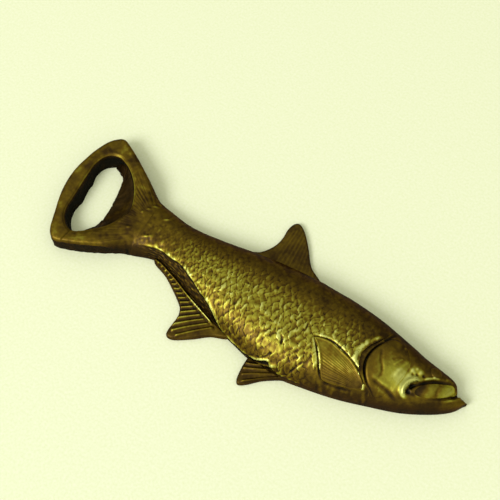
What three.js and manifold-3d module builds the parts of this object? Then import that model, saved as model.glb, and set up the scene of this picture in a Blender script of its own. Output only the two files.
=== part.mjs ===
// Souvenir bottle opener: a cast metal fish in half relief, flat on its back side, whose tail
// fin is the opener loop. Millimetres. The fish lies on its flat back at z = 0, its snout
// points along +X and its dorsal side along +Y.
//
// The real casting is one piece. Each anatomical region is a solid of its own here, parted from
// its neighbours by a thin gap.

import * as THREE from 'three';
import { mergeVertices } from 'three/addons/utils/BufferGeometryUtils.js';
import Module from 'manifold-3d';

// Body
const BODY_LENGTH = 131; // tail joint to the tip of the lower jaw
const BODY_DEPTH = 38.6; // dorsal to belly side where the fish is deepest, fins left out
const BODY_THICKNESS = 13; // flat back to the crown of the flank
const FLANK_FULLNESS = 2.6; // section exponent: 2 is an ellipse, more is boxier
const GAP = 0.3; // parting gap between neighbouring regions

// Tail fin and its opener loop
const CAP_DIAMETER = 28.8; // crimped skirt of a standard crown cap
const CAP_CLEARANCE = 0.6; // room for the cap along the slot
const SLOT_WIDTH = 13; // see-through slot, across
const LIP_REACH = 8.6; // how far the cap lip stands out from the loop's wall
const LIP_EDGE = 2.2; // thickness of the lip's edge
const LIP_ROOT = 6.2; // height of the lip where it meets the loop
const END_FLARE = 2.8; // how much longer the loop's rim is than the slot, at each end
const WALL_DRAFT = 1.6; // casting draft of the loop's inner wall
const SLOT_LEAN = 0.6; // the slot sits this much nearer the dorsal side
const END_BAR_WIDTH = 5.2; // bar along the trailing edge of the tail fin
const SIDE_BAR_WIDTH = 6.9; // tips of the tail fin, beyond the rim's two ends
const TAIL_ROOT_LENGTH = 8.4; // tail joint to the loop's rim
const TAIL_THICKNESS = 8;
const TAIL_ROUND = 2.4; // rounding of the loop's outer upper edge

// Fins that stand out from the outline
const FIN_THICKNESS = 2.6;
const FIN_ROUND = 0.8; // rounding of a fin's upper edge
const DORSAL_HEIGHT = 19;
const DORSAL_BASE = 25;
const ANAL_HEIGHT = 16.5;
const ANAL_BASE = 42;
const PELVIC_HEIGHT = 10.4;
const PELVIC_BASE = 22;

// Pieces in relief on the flank and the head
const PLATE_SEAT = 1.2; // depth of the pocket under a raised plate
const PECTORAL_RISE = 0.7;
const GILL_COVER_RISE = 0.8;
const UPPER_JAW_RISE = 0.7;
const EYE_DIAMETER = 4.6;
const EYE_RISE = 1.1; // how far the eye stands proud of the head

// Facets
const STATIONS = 46;
const SECTION_STEPS = 18;
const OUTLINE_STEPS = 48;
const ROUND_STEPS = 3;
const PAST = 30; // how far a cutting solid runs past the fish

const BRONZE = { metalness: 0.9, roughness: 0.42 };
const BODY_COLOUR = 0x8b7a2e;
const SHADE_COLOUR = 0x4e3f1c;
const BRIGHT_COLOUR = 0x9b9438;

const SLOT_SPAN = CAP_DIAMETER + CAP_CLEARANCE;
const RIM_SPAN = SLOT_SPAN + 2 * END_FLARE;
const RIM_LENGTH = SLOT_WIDTH + LIP_REACH + WALL_DRAFT;
const TAIL_SPAN = RIM_SPAN + 2 * SIDE_BAR_WIDTH;
const TAIL_LENGTH = TAIL_ROOT_LENGTH + RIM_LENGTH + END_BAR_WIDTH;
const RIM_CENTRE = -TAIL_ROOT_LENGTH - RIM_LENGTH / 2;

// Smooth curve through [share, value] points, as a function of the share.
function profile(points) {
  const last = points.length - 1;
  const slopes = points.map((_, i) => {
    const before = points[Math.max(i - 1, 0)];
    const after = points[Math.min(i + 1, last)];
    return (after[1] - before[1]) / (after[0] - before[0]);
  });
  return (share) => {
    const s = THREE.MathUtils.clamp(share, points[0][0], points[last][0]);
    const i = Math.max(points.findIndex((point) => point[0] >= s) - 1, 0);
    const width = points[i + 1][0] - points[i][0];
    const t = (s - points[i][0]) / width;
    const rise = points[i + 1][1] - points[i][1];
    const bend = (1 - t) * (slopes[i] * width - rise) - t * (slopes[i + 1] * width - rise);
    return points[i][1] + t * rise + t * (1 - t) * bend;
  };
}

// Dorsal and belly outlines and the crown of the relief, along shares of the body's length:
// 0 at the tail joint and 1 at the tip of the lower jaw.
const dorsalShare = profile([
  [0, 0.28], [0.1, 0.216], [0.2, 0.242], [0.3, 0.298], [0.4, 0.345], [0.5, 0.372],
  [0.6, 0.377], [0.7, 0.344], [0.78, 0.287], [0.86, 0.227], [0.925, 0.192],
  [0.954, 0.16], [0.968, 0.085], [1, 0.07],
]);
const bellyShare = profile([
  [0, -0.31], [0.07, -0.235], [0.14, -0.292], [0.2, -0.37], [0.26, -0.44], [0.32, -0.502],
  [0.38, -0.55], [0.45, -0.603], [0.535, -0.617], [0.62, -0.568], [0.7, -0.505],
  [0.78, -0.415], [0.86, -0.315], [0.925, -0.195], [0.97, -0.082], [1, 0.035],
]);
const crownShare = profile([
  [0, 0], [0.08, 0.1], [0.3, 0.85], [0.45, 1], [0.62, 1], [0.74, 0.92], [0.85, 0.62],
  [0.93, 0.15], [1, -0.85],
]);
const dorsal = (s) => dorsalShare(s) * BODY_DEPTH;
const belly = (s) => bellyShare(s) * BODY_DEPTH;
const crown = (s) => TAIL_THICKNESS + crownShare(s) * (BODY_THICKNESS - TAIL_THICKNESS);

// Place in plan of a share along the body and a share across it: 0 at the belly, 1 at the dorsal
// edge.
function inPlan([s, v]) {
  return new THREE.Vector2(s * BODY_LENGTH, THREE.MathUtils.lerp(belly(s), dorsal(s), v));
}

// Height of the flank above the flat back at that place.
function surfaceHeight([s, v]) {
  const off = Math.abs(2 * v - 1) ** FLANK_FULLNESS;
  return crown(s) * (1 - off) ** (1 / FLANK_FULLNESS);
}

const wasm = await Module();
wasm.setup();

function solidOf(geometry) {
  const bare = geometry.clone();
  bare.deleteAttribute('normal');
  bare.deleteAttribute('uv');
  const merged = mergeVertices(bare);
  return new wasm.Manifold(new wasm.Mesh({
    numProp: 3,
    vertProperties: Float32Array.from(merged.attributes.position.array),
    triVerts: Uint32Array.from(merged.index.array),
  }));
}

// Skin over rings of points that all have the same count, closed by a flat cap at each end. The
// rings turn anticlockwise as seen from the last one.
function skin(rings, capFaces) {
  const count = rings[0].length;
  const faces = capFaces.map(([a, b, c]) => [a, c, b]);
  for (let ring = 0; ring < rings.length - 1; ring += 1) {
    for (let i = 0; i < count; i += 1) {
      const here = ring * count;
      const next = (i + 1) % count;
      faces.push([here + i, here + next, here + count + next]);
      faces.push([here + i, here + count + next, here + count + i]);
    }
  }
  const top = (rings.length - 1) * count;
  faces.push(...capFaces.map((face) => face.map((corner) => top + corner)));
  const geometry = new THREE.BufferGeometry();
  geometry.setFromPoints(rings.flat());
  geometry.setIndex(faces.flat());
  return solidOf(geometry);
}

// The fish's body without its fins. Growing it makes a cutter that leaves that much room, and
// shrinking it makes the floor of a pocket.
function body(grow = 0, floor = 0) {
  const rings = [];
  for (let i = 0; i <= STATIONS; i += 1) {
    const s = Math.sin((i / STATIONS) * Math.PI / 2);
    const x = s * BODY_LENGTH + grow * (2 * s - 1);
    const middle = (dorsal(s) + belly(s)) / 2;
    const half = Math.max((dorsal(s) - belly(s)) / 2 + grow, 0.05);
    const height = Math.max(crown(s) + grow, 0.05);
    const ring = [new THREE.Vector3(x, middle - half, floor)];
    for (let j = 0; j <= SECTION_STEPS; j += 1) {
      const angle = Math.PI * (1 - j / SECTION_STEPS);
      const across = Math.sign(Math.cos(angle)) * Math.abs(Math.cos(angle)) ** (2 / FLANK_FULLNESS);
      const up = (1 - Math.abs(across) ** FLANK_FULLNESS) ** (1 / FLANK_FULLNESS);
      ring.push(new THREE.Vector3(x, middle + half * across, height * up));
    }
    ring.push(new THREE.Vector3(x, middle + half, floor));
    rings.push(floor < 0 ? ring.reverse() : ring.slice(1, -1).reverse());
  }
  const capFaces = [];
  for (let i = 1; i < rings[0].length - 1; i += 1) {
    capFaces.push([0, i, i + 1]);
  }
  return skin(rings, capFaces);
}

// A closed plan outline moved outwards by some distance, or inwards by a negative one.
function offset(outline, distance) {
  return outline.map((point, i) => {
    const before = outline[(i + outline.length - 1) % outline.length];
    const after = outline[(i + 1) % outline.length];
    const into = point.clone().sub(before).normalize();
    const out = after.clone().sub(point).normalize();
    const bisector = new THREE.Vector2(into.y + out.y, -into.x - out.x).normalize();
    const stretch = Math.max(bisector.dot(new THREE.Vector2(into.y, -into.x)), 0.5);
    return point.clone().addScaledVector(bisector, distance / stretch);
  });
}

// A solid standing on a plan outline: each level is a height and how far the outline has grown.
function stack(outline, levels) {
  const turned = THREE.ShapeUtils.isClockWise(outline) ? [...outline].reverse() : outline;
  const capFaces = THREE.ShapeUtils.triangulateShape(turned, []);
  const rings = levels.map(([height, grown]) => (
    offset(turned, grown).map((point) => new THREE.Vector3(point.x, point.y, height))
  ));
  return skin(rings, capFaces);
}

// A plain cutter through the whole thickness.
function through(outline, grown = 0) {
  return stack(outline, [[-PAST, grown], [PAST, grown]]);
}

// Levels of a plate whose upper edge is rounded.
function roundedLevels(thickness, radius) {
  const levels = [[0, 0]];
  for (let i = 0; i <= ROUND_STEPS; i += 1) {
    const angle = (i / ROUND_STEPS) * Math.PI / 2;
    levels.push([thickness - radius + radius * Math.sin(angle), radius * (Math.cos(angle) - 1)]);
  }
  return levels;
}

// Smooth closed outline through plan points.
function closedOutline(points, steps = OUTLINE_STEPS) {
  const curve = new THREE.CatmullRomCurve3(
    points.map((point) => new THREE.Vector3(point.x, point.y, 0)),
    true,
  );
  return curve.getPoints(steps).slice(0, -1).map((point) => new THREE.Vector2(point.x, point.y));
}

// Outline of a fin that stands out from the dorsal (side = 1) or belly (side = -1) edge. Its
// points are shares of its base and height, and the root runs well inside the body.
function finOutline(points, firstShare, base, height, side) {
  const edge = side > 0 ? dorsal : belly;
  const start = firstShare * BODY_LENGTH;
  const place = ([u, w]) => {
    const x = start + u * base;
    return new THREE.Vector2(x, edge(x / BODY_LENGTH) + side * w * height);
  };
  return closedOutline(points.map(place));
}

function raisedPlate(outline, rise) {
  return through(outline).intersect(body(rise)).subtract(body(-PLATE_SEAT, -PAST));
}

function plateSeat(outline, rise) {
  const room = body(rise + GAP, -PAST).subtract(body(-PLATE_SEAT - GAP, -PAST));
  return through(outline, GAP).intersect(room);
}

function mesh(name, solid, color) {
  const result = solid.getMesh();
  const geometry = new THREE.BufferGeometry();
  geometry.setAttribute('position', new THREE.BufferAttribute(result.vertProperties, 3));
  geometry.setIndex(new THREE.BufferAttribute(result.triVerts, 1));
  geometry.computeVertexNormals();
  const piece = new THREE.Mesh(geometry, new THREE.MeshStandardMaterial({ color, ...BRONZE }));
  piece.name = name;
  return piece;
}

// Regions of the head and the flank, as shares along and across the body.
const pectoralOutline = closedOutline([
  [0.575, 0.405], [0.618, 0.43], [0.667, 0.38], [0.697, 0.33], [0.727, 0.24], [0.75, 0.14],
  [0.745, 0.085], [0.7, 0.07], [0.65, 0.07], [0.633, 0.13], [0.614, 0.24], [0.592, 0.34],
].map(inPlan));
const gillCoverOutline = closedOutline([
  [0.785, 0.06], [0.765, 0.13], [0.747, 0.2], [0.731, 0.3], [0.722, 0.41], [0.723, 0.53],
  [0.733, 0.65], [0.749, 0.79], [0.775, 0.84], [0.8, 0.8], [0.82, 0.66], [0.826, 0.45],
  [0.818, 0.25], [0.805, 0.1],
].map(inPlan));
const upperJawOutline = closedOutline([
  [0.866, 0.33], [0.867, 0.42], [0.88, 0.5], [0.905, 0.64], [0.93, 0.75], [0.95, 0.8],
  [0.958, 0.62], [0.945, 0.42], [0.93, 0.32], [0.905, 0.27], [0.883, 0.25],
].map(inPlan));
const shoulderLine = new THREE.SplineCurve([
  [0.782, -0.3], [0.774, 0.03], [0.755, 0.14], [0.727, 0.22], [0.708, 0.36], [0.703, 0.46],
  [0.71, 0.57], [0.728, 0.7], [0.742, 0.86], [0.75, 1.3],
].map(inPlan)).getPoints(OUTLINE_STEPS);
const jawLine = new THREE.SplineCurve([
  [0.842, -0.4], [0.852, 0.04], [0.875, 0.12], [0.905, 0.19], [0.932, 0.26], [0.95, 0.34],
  [0.966, 0.6], [0.976, 1.6],
].map(inPlan)).getPoints(OUTLINE_STEPS);

// A region that runs from a line across the body to past the snout.
function forwardOf(line) {
  const past = BODY_LENGTH + PAST;
  return [
    ...line,
    new THREE.Vector2(past, line.at(-1).y),
    new THREE.Vector2(past, line[0].y),
  ];
}

function makePectoralFin() {
  return raisedPlate(pectoralOutline, PECTORAL_RISE).subtract(through(forwardOf(shoulderLine)));
}

function makeTrunk() {
  return body()
    .subtract(through(forwardOf(shoulderLine)))
    .subtract(plateSeat(pectoralOutline, PECTORAL_RISE));
}

const EYE_PLACE = [0.893, 0.78];
const EYE_SEGMENTS = 20;

function eyeCentre() {
  const place = inPlan(EYE_PLACE);
  const height = surfaceHeight(EYE_PLACE) + EYE_RISE - EYE_DIAMETER / 2;
  return new THREE.Vector3(place.x, place.y, height);
}

function eyeBall(radius) {
  return solidOf(new THREE.SphereGeometry(radius, EYE_SEGMENTS, EYE_SEGMENTS / 2));
}

function makeHead() {
  return body()
    .intersect(through(forwardOf(shoulderLine), -GAP))
    .subtract(through(forwardOf(jawLine)))
    .subtract(plateSeat(gillCoverOutline, GILL_COVER_RISE))
    .subtract(plateSeat(upperJawOutline, UPPER_JAW_RISE))
    .subtract(eyeBall(EYE_DIAMETER / 2 + GAP).translate(eyeCentre().toArray()));
}

function makeLowerJaw() {
  return body()
    .intersect(through(forwardOf(jawLine), -GAP))
    .subtract(plateSeat(upperJawOutline, UPPER_JAW_RISE));
}

// Tail fin outline, as shares of its length and of its span. Its root is as deep as the body.
function tailOutline() {
  const bend = TAIL_SPAN / 62; // the fin leans a little to the dorsal side
  const share = ([u, w]) => new THREE.Vector2(-u * TAIL_LENGTH, w * TAIL_SPAN + bend);
  const upper = [[0.27, 0.3], [0.5, 0.405], [0.68, 0.476], [0.76, 0.496], [0.83, 0.47]];
  const trailing = [[0.9, 0.4], [0.965, 0.25], [0.998, 0.06], [0.965, -0.13], [0.885, -0.3]];
  const lower = [[0.815, -0.43], [0.755, -0.485], [0.68, -0.5], [0.48, -0.445], [0.27, -0.365]];
  const curve = new THREE.SplineCurve([
    new THREE.Vector2(-GAP, dorsal(0)),
    ...[...upper, ...trailing, ...lower].map(share),
    new THREE.Vector2(-GAP, belly(0)),
  ]);
  return curve.getPoints(OUTLINE_STEPS);
}

// Rim of the opener loop on the upper face, as shares of its length and span.
function rimOutline() {
  return closedOutline([
    [-0.24, 0.5], [-0.06, 0.47], [0.14, 0.39], [0.34, 0.25], [0.49, 0.06], [0.465, -0.07],
    [0.36, -0.235], [0.15, -0.39], [-0.07, -0.5], [-0.27, -0.46], [-0.4, -0.33],
    [-0.44, -0.13], [-0.48, 0.13], [-0.49, 0.3], [-0.41, 0.44],
  ].map(([u, w]) => new THREE.Vector2(RIM_CENTRE + u * RIM_LENGTH, w * RIM_SPAN)));
}

function makeTailLoop() {
  const levels = roundedLevels(TAIL_THICKNESS, TAIL_ROUND);
  const draft = WALL_DRAFT / TAIL_THICKNESS;
  const throat = stack(rimOutline(), [[-1, -WALL_DRAFT - draft], [TAIL_THICKNESS + 1, draft]]);
  return stack(tailOutline(), levels).subtract(throat);
}

// Ledge on the body's side of the loop that hooks under the cap's skirt. Its upper face slopes
// down to the slot.
function makeCapLip() {
  const draft = WALL_DRAFT / TAIL_THICKNESS;
  const blank = stack(rimOutline(), [
    [0, -WALL_DRAFT - GAP],
    [LIP_ROOT, -WALL_DRAFT - GAP + draft * LIP_ROOT],
  ]);
  const slotCentre = RIM_CENTRE - RIM_LENGTH / 2 + WALL_DRAFT + SLOT_WIDTH / 2;
  const edge = new THREE.SplineCurve([
    [-0.12, 0.5], [0.2, 0.42], [0.32, 0.29], [0.41, 0.1], [0.49, -0.12], [0.48, -0.3],
    [0.31, -0.43], [0.08, -0.5],
  ].map(([u, w]) => new THREE.Vector2(slotCentre + u * SLOT_WIDTH, w * SLOT_SPAN + SLOT_LEAN)));
  const slot = [
    ...edge.getPoints(OUTLINE_STEPS / 2),
    new THREE.Vector2(slotCentre - PAST, -SLOT_SPAN / 2),
    new THREE.Vector2(slotCentre - PAST, SLOT_SPAN / 2),
  ];
  const slope = Math.atan2(LIP_ROOT - LIP_EDGE, LIP_REACH);
  const above = new THREE.BoxGeometry(4 * PAST, 4 * PAST, 2 * PAST);
  above.translate(0, 0, PAST);
  above.rotateY(-slope);
  above.translate(slotCentre + SLOT_WIDTH / 2, 0, LIP_EDGE);
  return blank.subtract(through(slot)).subtract(solidOf(above));
}

function makeFin(outline) {
  return stack(outline, roundedLevels(FIN_THICKNESS, FIN_ROUND)).subtract(body(GAP, -PAST));
}

const dorsalFinOutline = finOutline([
  [-0.22, -0.3], [-0.22, 0], [-0.06, 0.11], [0.04, 0.26], [0.09, 0.44], [0.095, 0.62],
  [0.085, 0.8], [0.12, 0.96], [0.2, 1], [0.33, 0.87], [0.5, 0.6], [0.7, 0.25],
  [0.95, 0.02], [1, -0.3],
], 0.32, DORSAL_BASE, DORSAL_HEIGHT, 1);
const analFinOutline = finOutline([
  [0.02, -0.3], [0.02, 0.03], [0.2, 0.13], [0.42, 0.28], [0.48, 0.42], [0.49, 0.62],
  [0.485, 0.84], [0.5, 0.98], [0.57, 0.91], [0.7, 0.58], [0.82, 0.24], [0.96, -0.02],
  [0.96, -0.3],
], 0.06, ANAL_BASE, ANAL_HEIGHT, -1);
const pelvicFinOutline = finOutline([
  [0.1, -0.5], [0.09, 0.1], [0.095, 0.45], [0.13, 0.84], [0.19, 0.93], [0.3, 0.76],
  [0.48, 0.36], [0.7, 0.05], [0.9, -0.1], [0.9, -0.5],
], 0.427, PELVIC_BASE, PELVIC_HEIGHT, -1);

const eye = mesh('eye', eyeBall(EYE_DIAMETER / 2), SHADE_COLOUR);
eye.position.copy(eyeCentre());

const fish = new THREE.Group();
fish.add(
  mesh('tail_loop', makeTailLoop(), BODY_COLOUR),
  mesh('cap_lip', makeCapLip(), SHADE_COLOUR),
  mesh('trunk', makeTrunk(), BODY_COLOUR),
  mesh('head', makeHead(), BODY_COLOUR),
  mesh('gill_cover', raisedPlate(gillCoverOutline, GILL_COVER_RISE), BRIGHT_COLOUR),
  mesh('upper_jaw', raisedPlate(upperJawOutline, UPPER_JAW_RISE), BRIGHT_COLOUR),
  mesh('lower_jaw', makeLowerJaw(), SHADE_COLOUR),
  eye,
  mesh('pectoral_fin', makePectoralFin(), BODY_COLOUR),
  mesh('pelvic_fin', makeFin(pelvicFinOutline), SHADE_COLOUR),
  mesh('anal_fin', makeFin(analFinOutline), SHADE_COLOUR),
  mesh('dorsal_fin', makeFin(dorsalFinOutline), SHADE_COLOUR),
);

// The origin is under the middle of the fish.
const box = new THREE.Box3().setFromObject(fish);
const middle = box.getCenter(new THREE.Vector3());
fish.position.set(-middle.x, -middle.y, -box.min.z);

const group = new THREE.Group();
group.add(fish);

export default group;
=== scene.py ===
"""Souvenir bottle opener: a fish cast in brass, in half relief, whose tail fin is the opener loop.

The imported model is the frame. Each visible piece here is shaped around the places and sizes of its CAD
node, rides on the same body and replaces that node. Lengths are millimetres until a mesh is written.
"""
import logging
import math
from collections.abc import Callable
from dataclasses import dataclass, field
from enum import Enum

import bpy
import numpy as np
from mathutils import Matrix, Vector


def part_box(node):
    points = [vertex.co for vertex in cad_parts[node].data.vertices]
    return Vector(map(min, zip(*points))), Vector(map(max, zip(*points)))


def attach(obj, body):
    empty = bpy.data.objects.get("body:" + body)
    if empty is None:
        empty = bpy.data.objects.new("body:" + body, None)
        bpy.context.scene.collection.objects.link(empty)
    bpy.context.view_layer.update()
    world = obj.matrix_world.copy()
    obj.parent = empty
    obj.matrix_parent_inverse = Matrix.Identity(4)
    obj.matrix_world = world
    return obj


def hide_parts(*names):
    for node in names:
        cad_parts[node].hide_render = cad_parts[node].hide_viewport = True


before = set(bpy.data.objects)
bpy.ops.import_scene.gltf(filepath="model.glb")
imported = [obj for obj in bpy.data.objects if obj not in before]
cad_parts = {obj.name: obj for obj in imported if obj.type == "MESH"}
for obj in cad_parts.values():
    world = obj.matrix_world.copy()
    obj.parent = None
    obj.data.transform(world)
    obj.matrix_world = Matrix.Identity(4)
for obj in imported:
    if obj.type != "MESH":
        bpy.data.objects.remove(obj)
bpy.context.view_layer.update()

log = logging.getLogger("fish_opener")
Array = np.ndarray
Point = tuple[float, float]
Path = tuple[Point, ...]
Layers = tuple[tuple[float, float, float, float], ...]

MM = 0.001
BODY = "root"
MERGE = 2e-6  # metres; closes seams and poles
CREASE = math.radians(55)
CURVE_STEPS = 24  # straight steps from one knot of a curve to the next


# --------------------------------------------------------------------------- curves and noise


def smooth(value: Array, low: float, high: float) -> Array:
    """Zero up to low, one from high on, and an even S between them."""
    t = np.clip((np.asarray(value, float) - low) / (high - low), 0, 1)
    return t * t * (3 - 2 * t)


def blend(a: Array, b: Array, share: Array) -> Array:
    """The value share of the way from a to b."""
    return a + (b - a) * share


def hump(value: Array, centre: float, width: float) -> Array:
    """One at the centre, and almost zero from twice the width on."""
    return np.exp(-((value - centre) / width) ** 2)


def profile(points: Path, shares: Array) -> Array:
    """Smooth curve through points, read at some shares.

    Args:
        points: (share, value) pairs in rising order.
        shares: where to read the curve.

    Returns:
        The values, as an array of the same shape as shares.
    """
    x, y = np.array(points, float).T
    before = np.maximum(np.arange(len(x)) - 1, 0)
    after = np.minimum(np.arange(len(x)) + 1, len(x) - 1)
    slope = (y[after] - y[before]) / (x[after] - x[before])
    s = np.clip(shares, x[0], x[-1])
    i = np.clip(np.searchsorted(x, s, side="left") - 1, 0, len(x) - 2)
    width = x[i + 1] - x[i]
    t = (s - x[i]) / width
    rise = y[i + 1] - y[i]
    bend = (1 - t) * (slope[i] * width - rise) - t * (slope[i + 1] * width - rise)
    return y[i] + t * rise + t * (1 - t) * bend


def curve(points: Array, count: int, closed: bool = False) -> Array:
    """Smooth curve through points, as evenly spaced places along it.

    Args:
        points: the knots, one row each.
        count: how many places to return; a closed curve repeats its first place at the end.
        closed: whether the curve runs back to its first knot.

    Returns:
        The places, one row each.
    """
    knots = np.array(points, float)
    if closed:
        ring = np.vstack([knots[-1:], knots, knots[:2]])
    else:
        ring = np.vstack([2 * knots[0] - knots[1], knots, 2 * knots[-1] - knots[-2]])
    t = np.linspace(0, 1, CURVE_STEPS, endpoint=False)[:, None]
    spans = []
    for a, b, c, d in zip(ring, ring[1:], ring[2:], ring[3:]):
        spans.append(b + 0.5 * t * (c - a + t * (2 * a - 5 * b + 4 * c - d + t * (3 * (b - c) + d - a))))
    dense = np.vstack(spans + [knots[:1] if closed else knots[-1:]])
    length = np.concatenate([[0], np.cumsum(np.linalg.norm(np.diff(dense, axis=0), axis=1))])
    places = np.linspace(0, length[-1], count)
    return np.stack([np.interp(places, length, dense[:, axis]) for axis in range(dense.shape[1])], 1)


def nearest(places: Array, path: Array) -> tuple[Array, Array, Array]:
    """Where places lie from a path.

    Args:
        places: rows of coordinates.
        path: the corners of the path, one row each.

    Returns:
        The distance from the path, the share along it of the nearest point, and the side: 1 to the
        left of the path as seen from above, -1 to the right.
    """
    best = np.full(len(places), np.inf)
    share = np.zeros(len(places))
    side = np.ones(len(places))
    for i, (a, b) in enumerate(zip(path, path[1:])):
        along = b - a
        off = places - a
        t = np.clip(off @ along / (along @ along), 0, 1)
        turn = along[0] * off[:, 1] - along[1] * off[:, 0]
        off = off - t[:, None] * along
        gap = (off * off).sum(1)
        closer = gap < best
        best[closer] = gap[closer]
        share[closer] = (i + t[closer]) / (len(path) - 1)
        side[closer] = np.sign(turn[closer])
    return np.sqrt(best), share, side


def inside(places: Array, outline: Array) -> Array:
    """Whether places lie inside a closed outline, by counting crossings.

    Args:
        places: plan points, one row each.
        outline: its corners, with the first repeated at the end.

    Returns:
        True or False for each place.
    """
    found = np.zeros(len(places), bool)
    x, y = places[:, 0], places[:, 1]
    for (ax, ay), (bx, by) in zip(outline[:, :2], outline[1:, :2]):
        if ay != by:
            crosses = (ay > y) != (by > y)
            found ^= crosses & (x < (bx - ax) * (y - ay) / (by - ay) + ax)
    return found


def soften(values: Array, reach: int) -> Array:
    """Averages a grid over a square of cells, twice.

    Args:
        values: the grid, by row and column.
        reach: cells from the middle of the square to its side.

    Returns:
        The averaged grid.
    """
    for axis in (0, 1, 0, 1):
        width = [(0, 0), (0, 0)]
        width[axis] = (reach + 1, reach)
        total = np.cumsum(np.pad(values, width, mode="edge"), axis=axis)
        high = np.take(total, range(2 * reach + 1, total.shape[axis]), axis=axis)
        low = np.take(total, range(total.shape[axis] - 2 * reach - 1), axis=axis)
        values = (high - low) / (2 * reach + 1)
    return values


class Grain:
    """Smooth random relief over a plane, the same on every run."""

    SIZE = 64

    def __init__(self, seed: int) -> None:
        """Fills the table of values from a seed."""
        self.table = np.random.default_rng(seed).uniform(-1, 1, (self.SIZE, self.SIZE))

    def cell(self, i: Array, j: Array) -> Array:
        """The random value of whole-numbered cells."""
        return self.table[i.astype(int) % self.SIZE, j.astype(int) % self.SIZE]

    def at(self, x: Array, y: Array, size: float) -> Array:
        """Smooth random value at places.

        Args:
            x: mm along.
            y: mm across.
            size: size of the lumps, mm.

        Returns:
            Values between -1 and 1.
        """
        u, v = x / size, y / size
        i, j = np.floor(u), np.floor(v)
        a, b = smooth(u - i, 0, 1), smooth(v - j, 0, 1)
        near = blend(self.cell(i, j), self.cell(i + 1, j), a)
        far = blend(self.cell(i, j + 1), self.cell(i + 1, j + 1), a)
        return blend(near, far, b)

    def relief(self, x: Array, y: Array, layers: Layers) -> Array:
        """Relief made of several layers of lumps.

        Args:
            x: mm along.
            y: mm across.
            layers: the height of each, the size of its lumps and its shift along and across, mm.

        Returns:
            The height, mm.
        """
        height = 0.0
        for rise, size, along, across in layers:
            height = height + rise * self.at(x + along, y + across, size)
        return height


GRAIN = Grain(7)


# --------------------------------------------------------------------------- finishes


class Coat(Enum):
    """The places of the casting that were finished differently."""

    RUBBED = "rubbed"
    DARK = "dark"


def linear(colour: str) -> tuple[float, float, float, float]:
    """Turns an sRGB hex colour into the linear colour that a shader takes."""
    parts = [int(colour[i:i + 2], 16) / 255 for i in (1, 3, 5)]
    return (*[c / 12.92 if c <= 0.04045 else ((c + 0.055) / 1.055) ** 2.4 for c in parts], 1.0)


def add_node(material: bpy.types.Material, kind: str, settings: dict, links: dict) -> bpy.types.Node:
    """Adds a node to a material.

    Args:
        material: the material that gets the node.
        kind: the node's type name.
        settings: values by property or input name.
        links: output sockets by the input name, or number, that they feed.

    Returns:
        The new node.
    """
    node = material.node_tree.nodes.new(kind)
    for name, value in settings.items():
        if isinstance(name, int) or name in node.inputs:
            node.inputs[name].default_value = value
        else:
            setattr(node, name, value)
    for name, output in links.items():
        material.node_tree.links.new(output, node.inputs[name])
    return node


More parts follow.
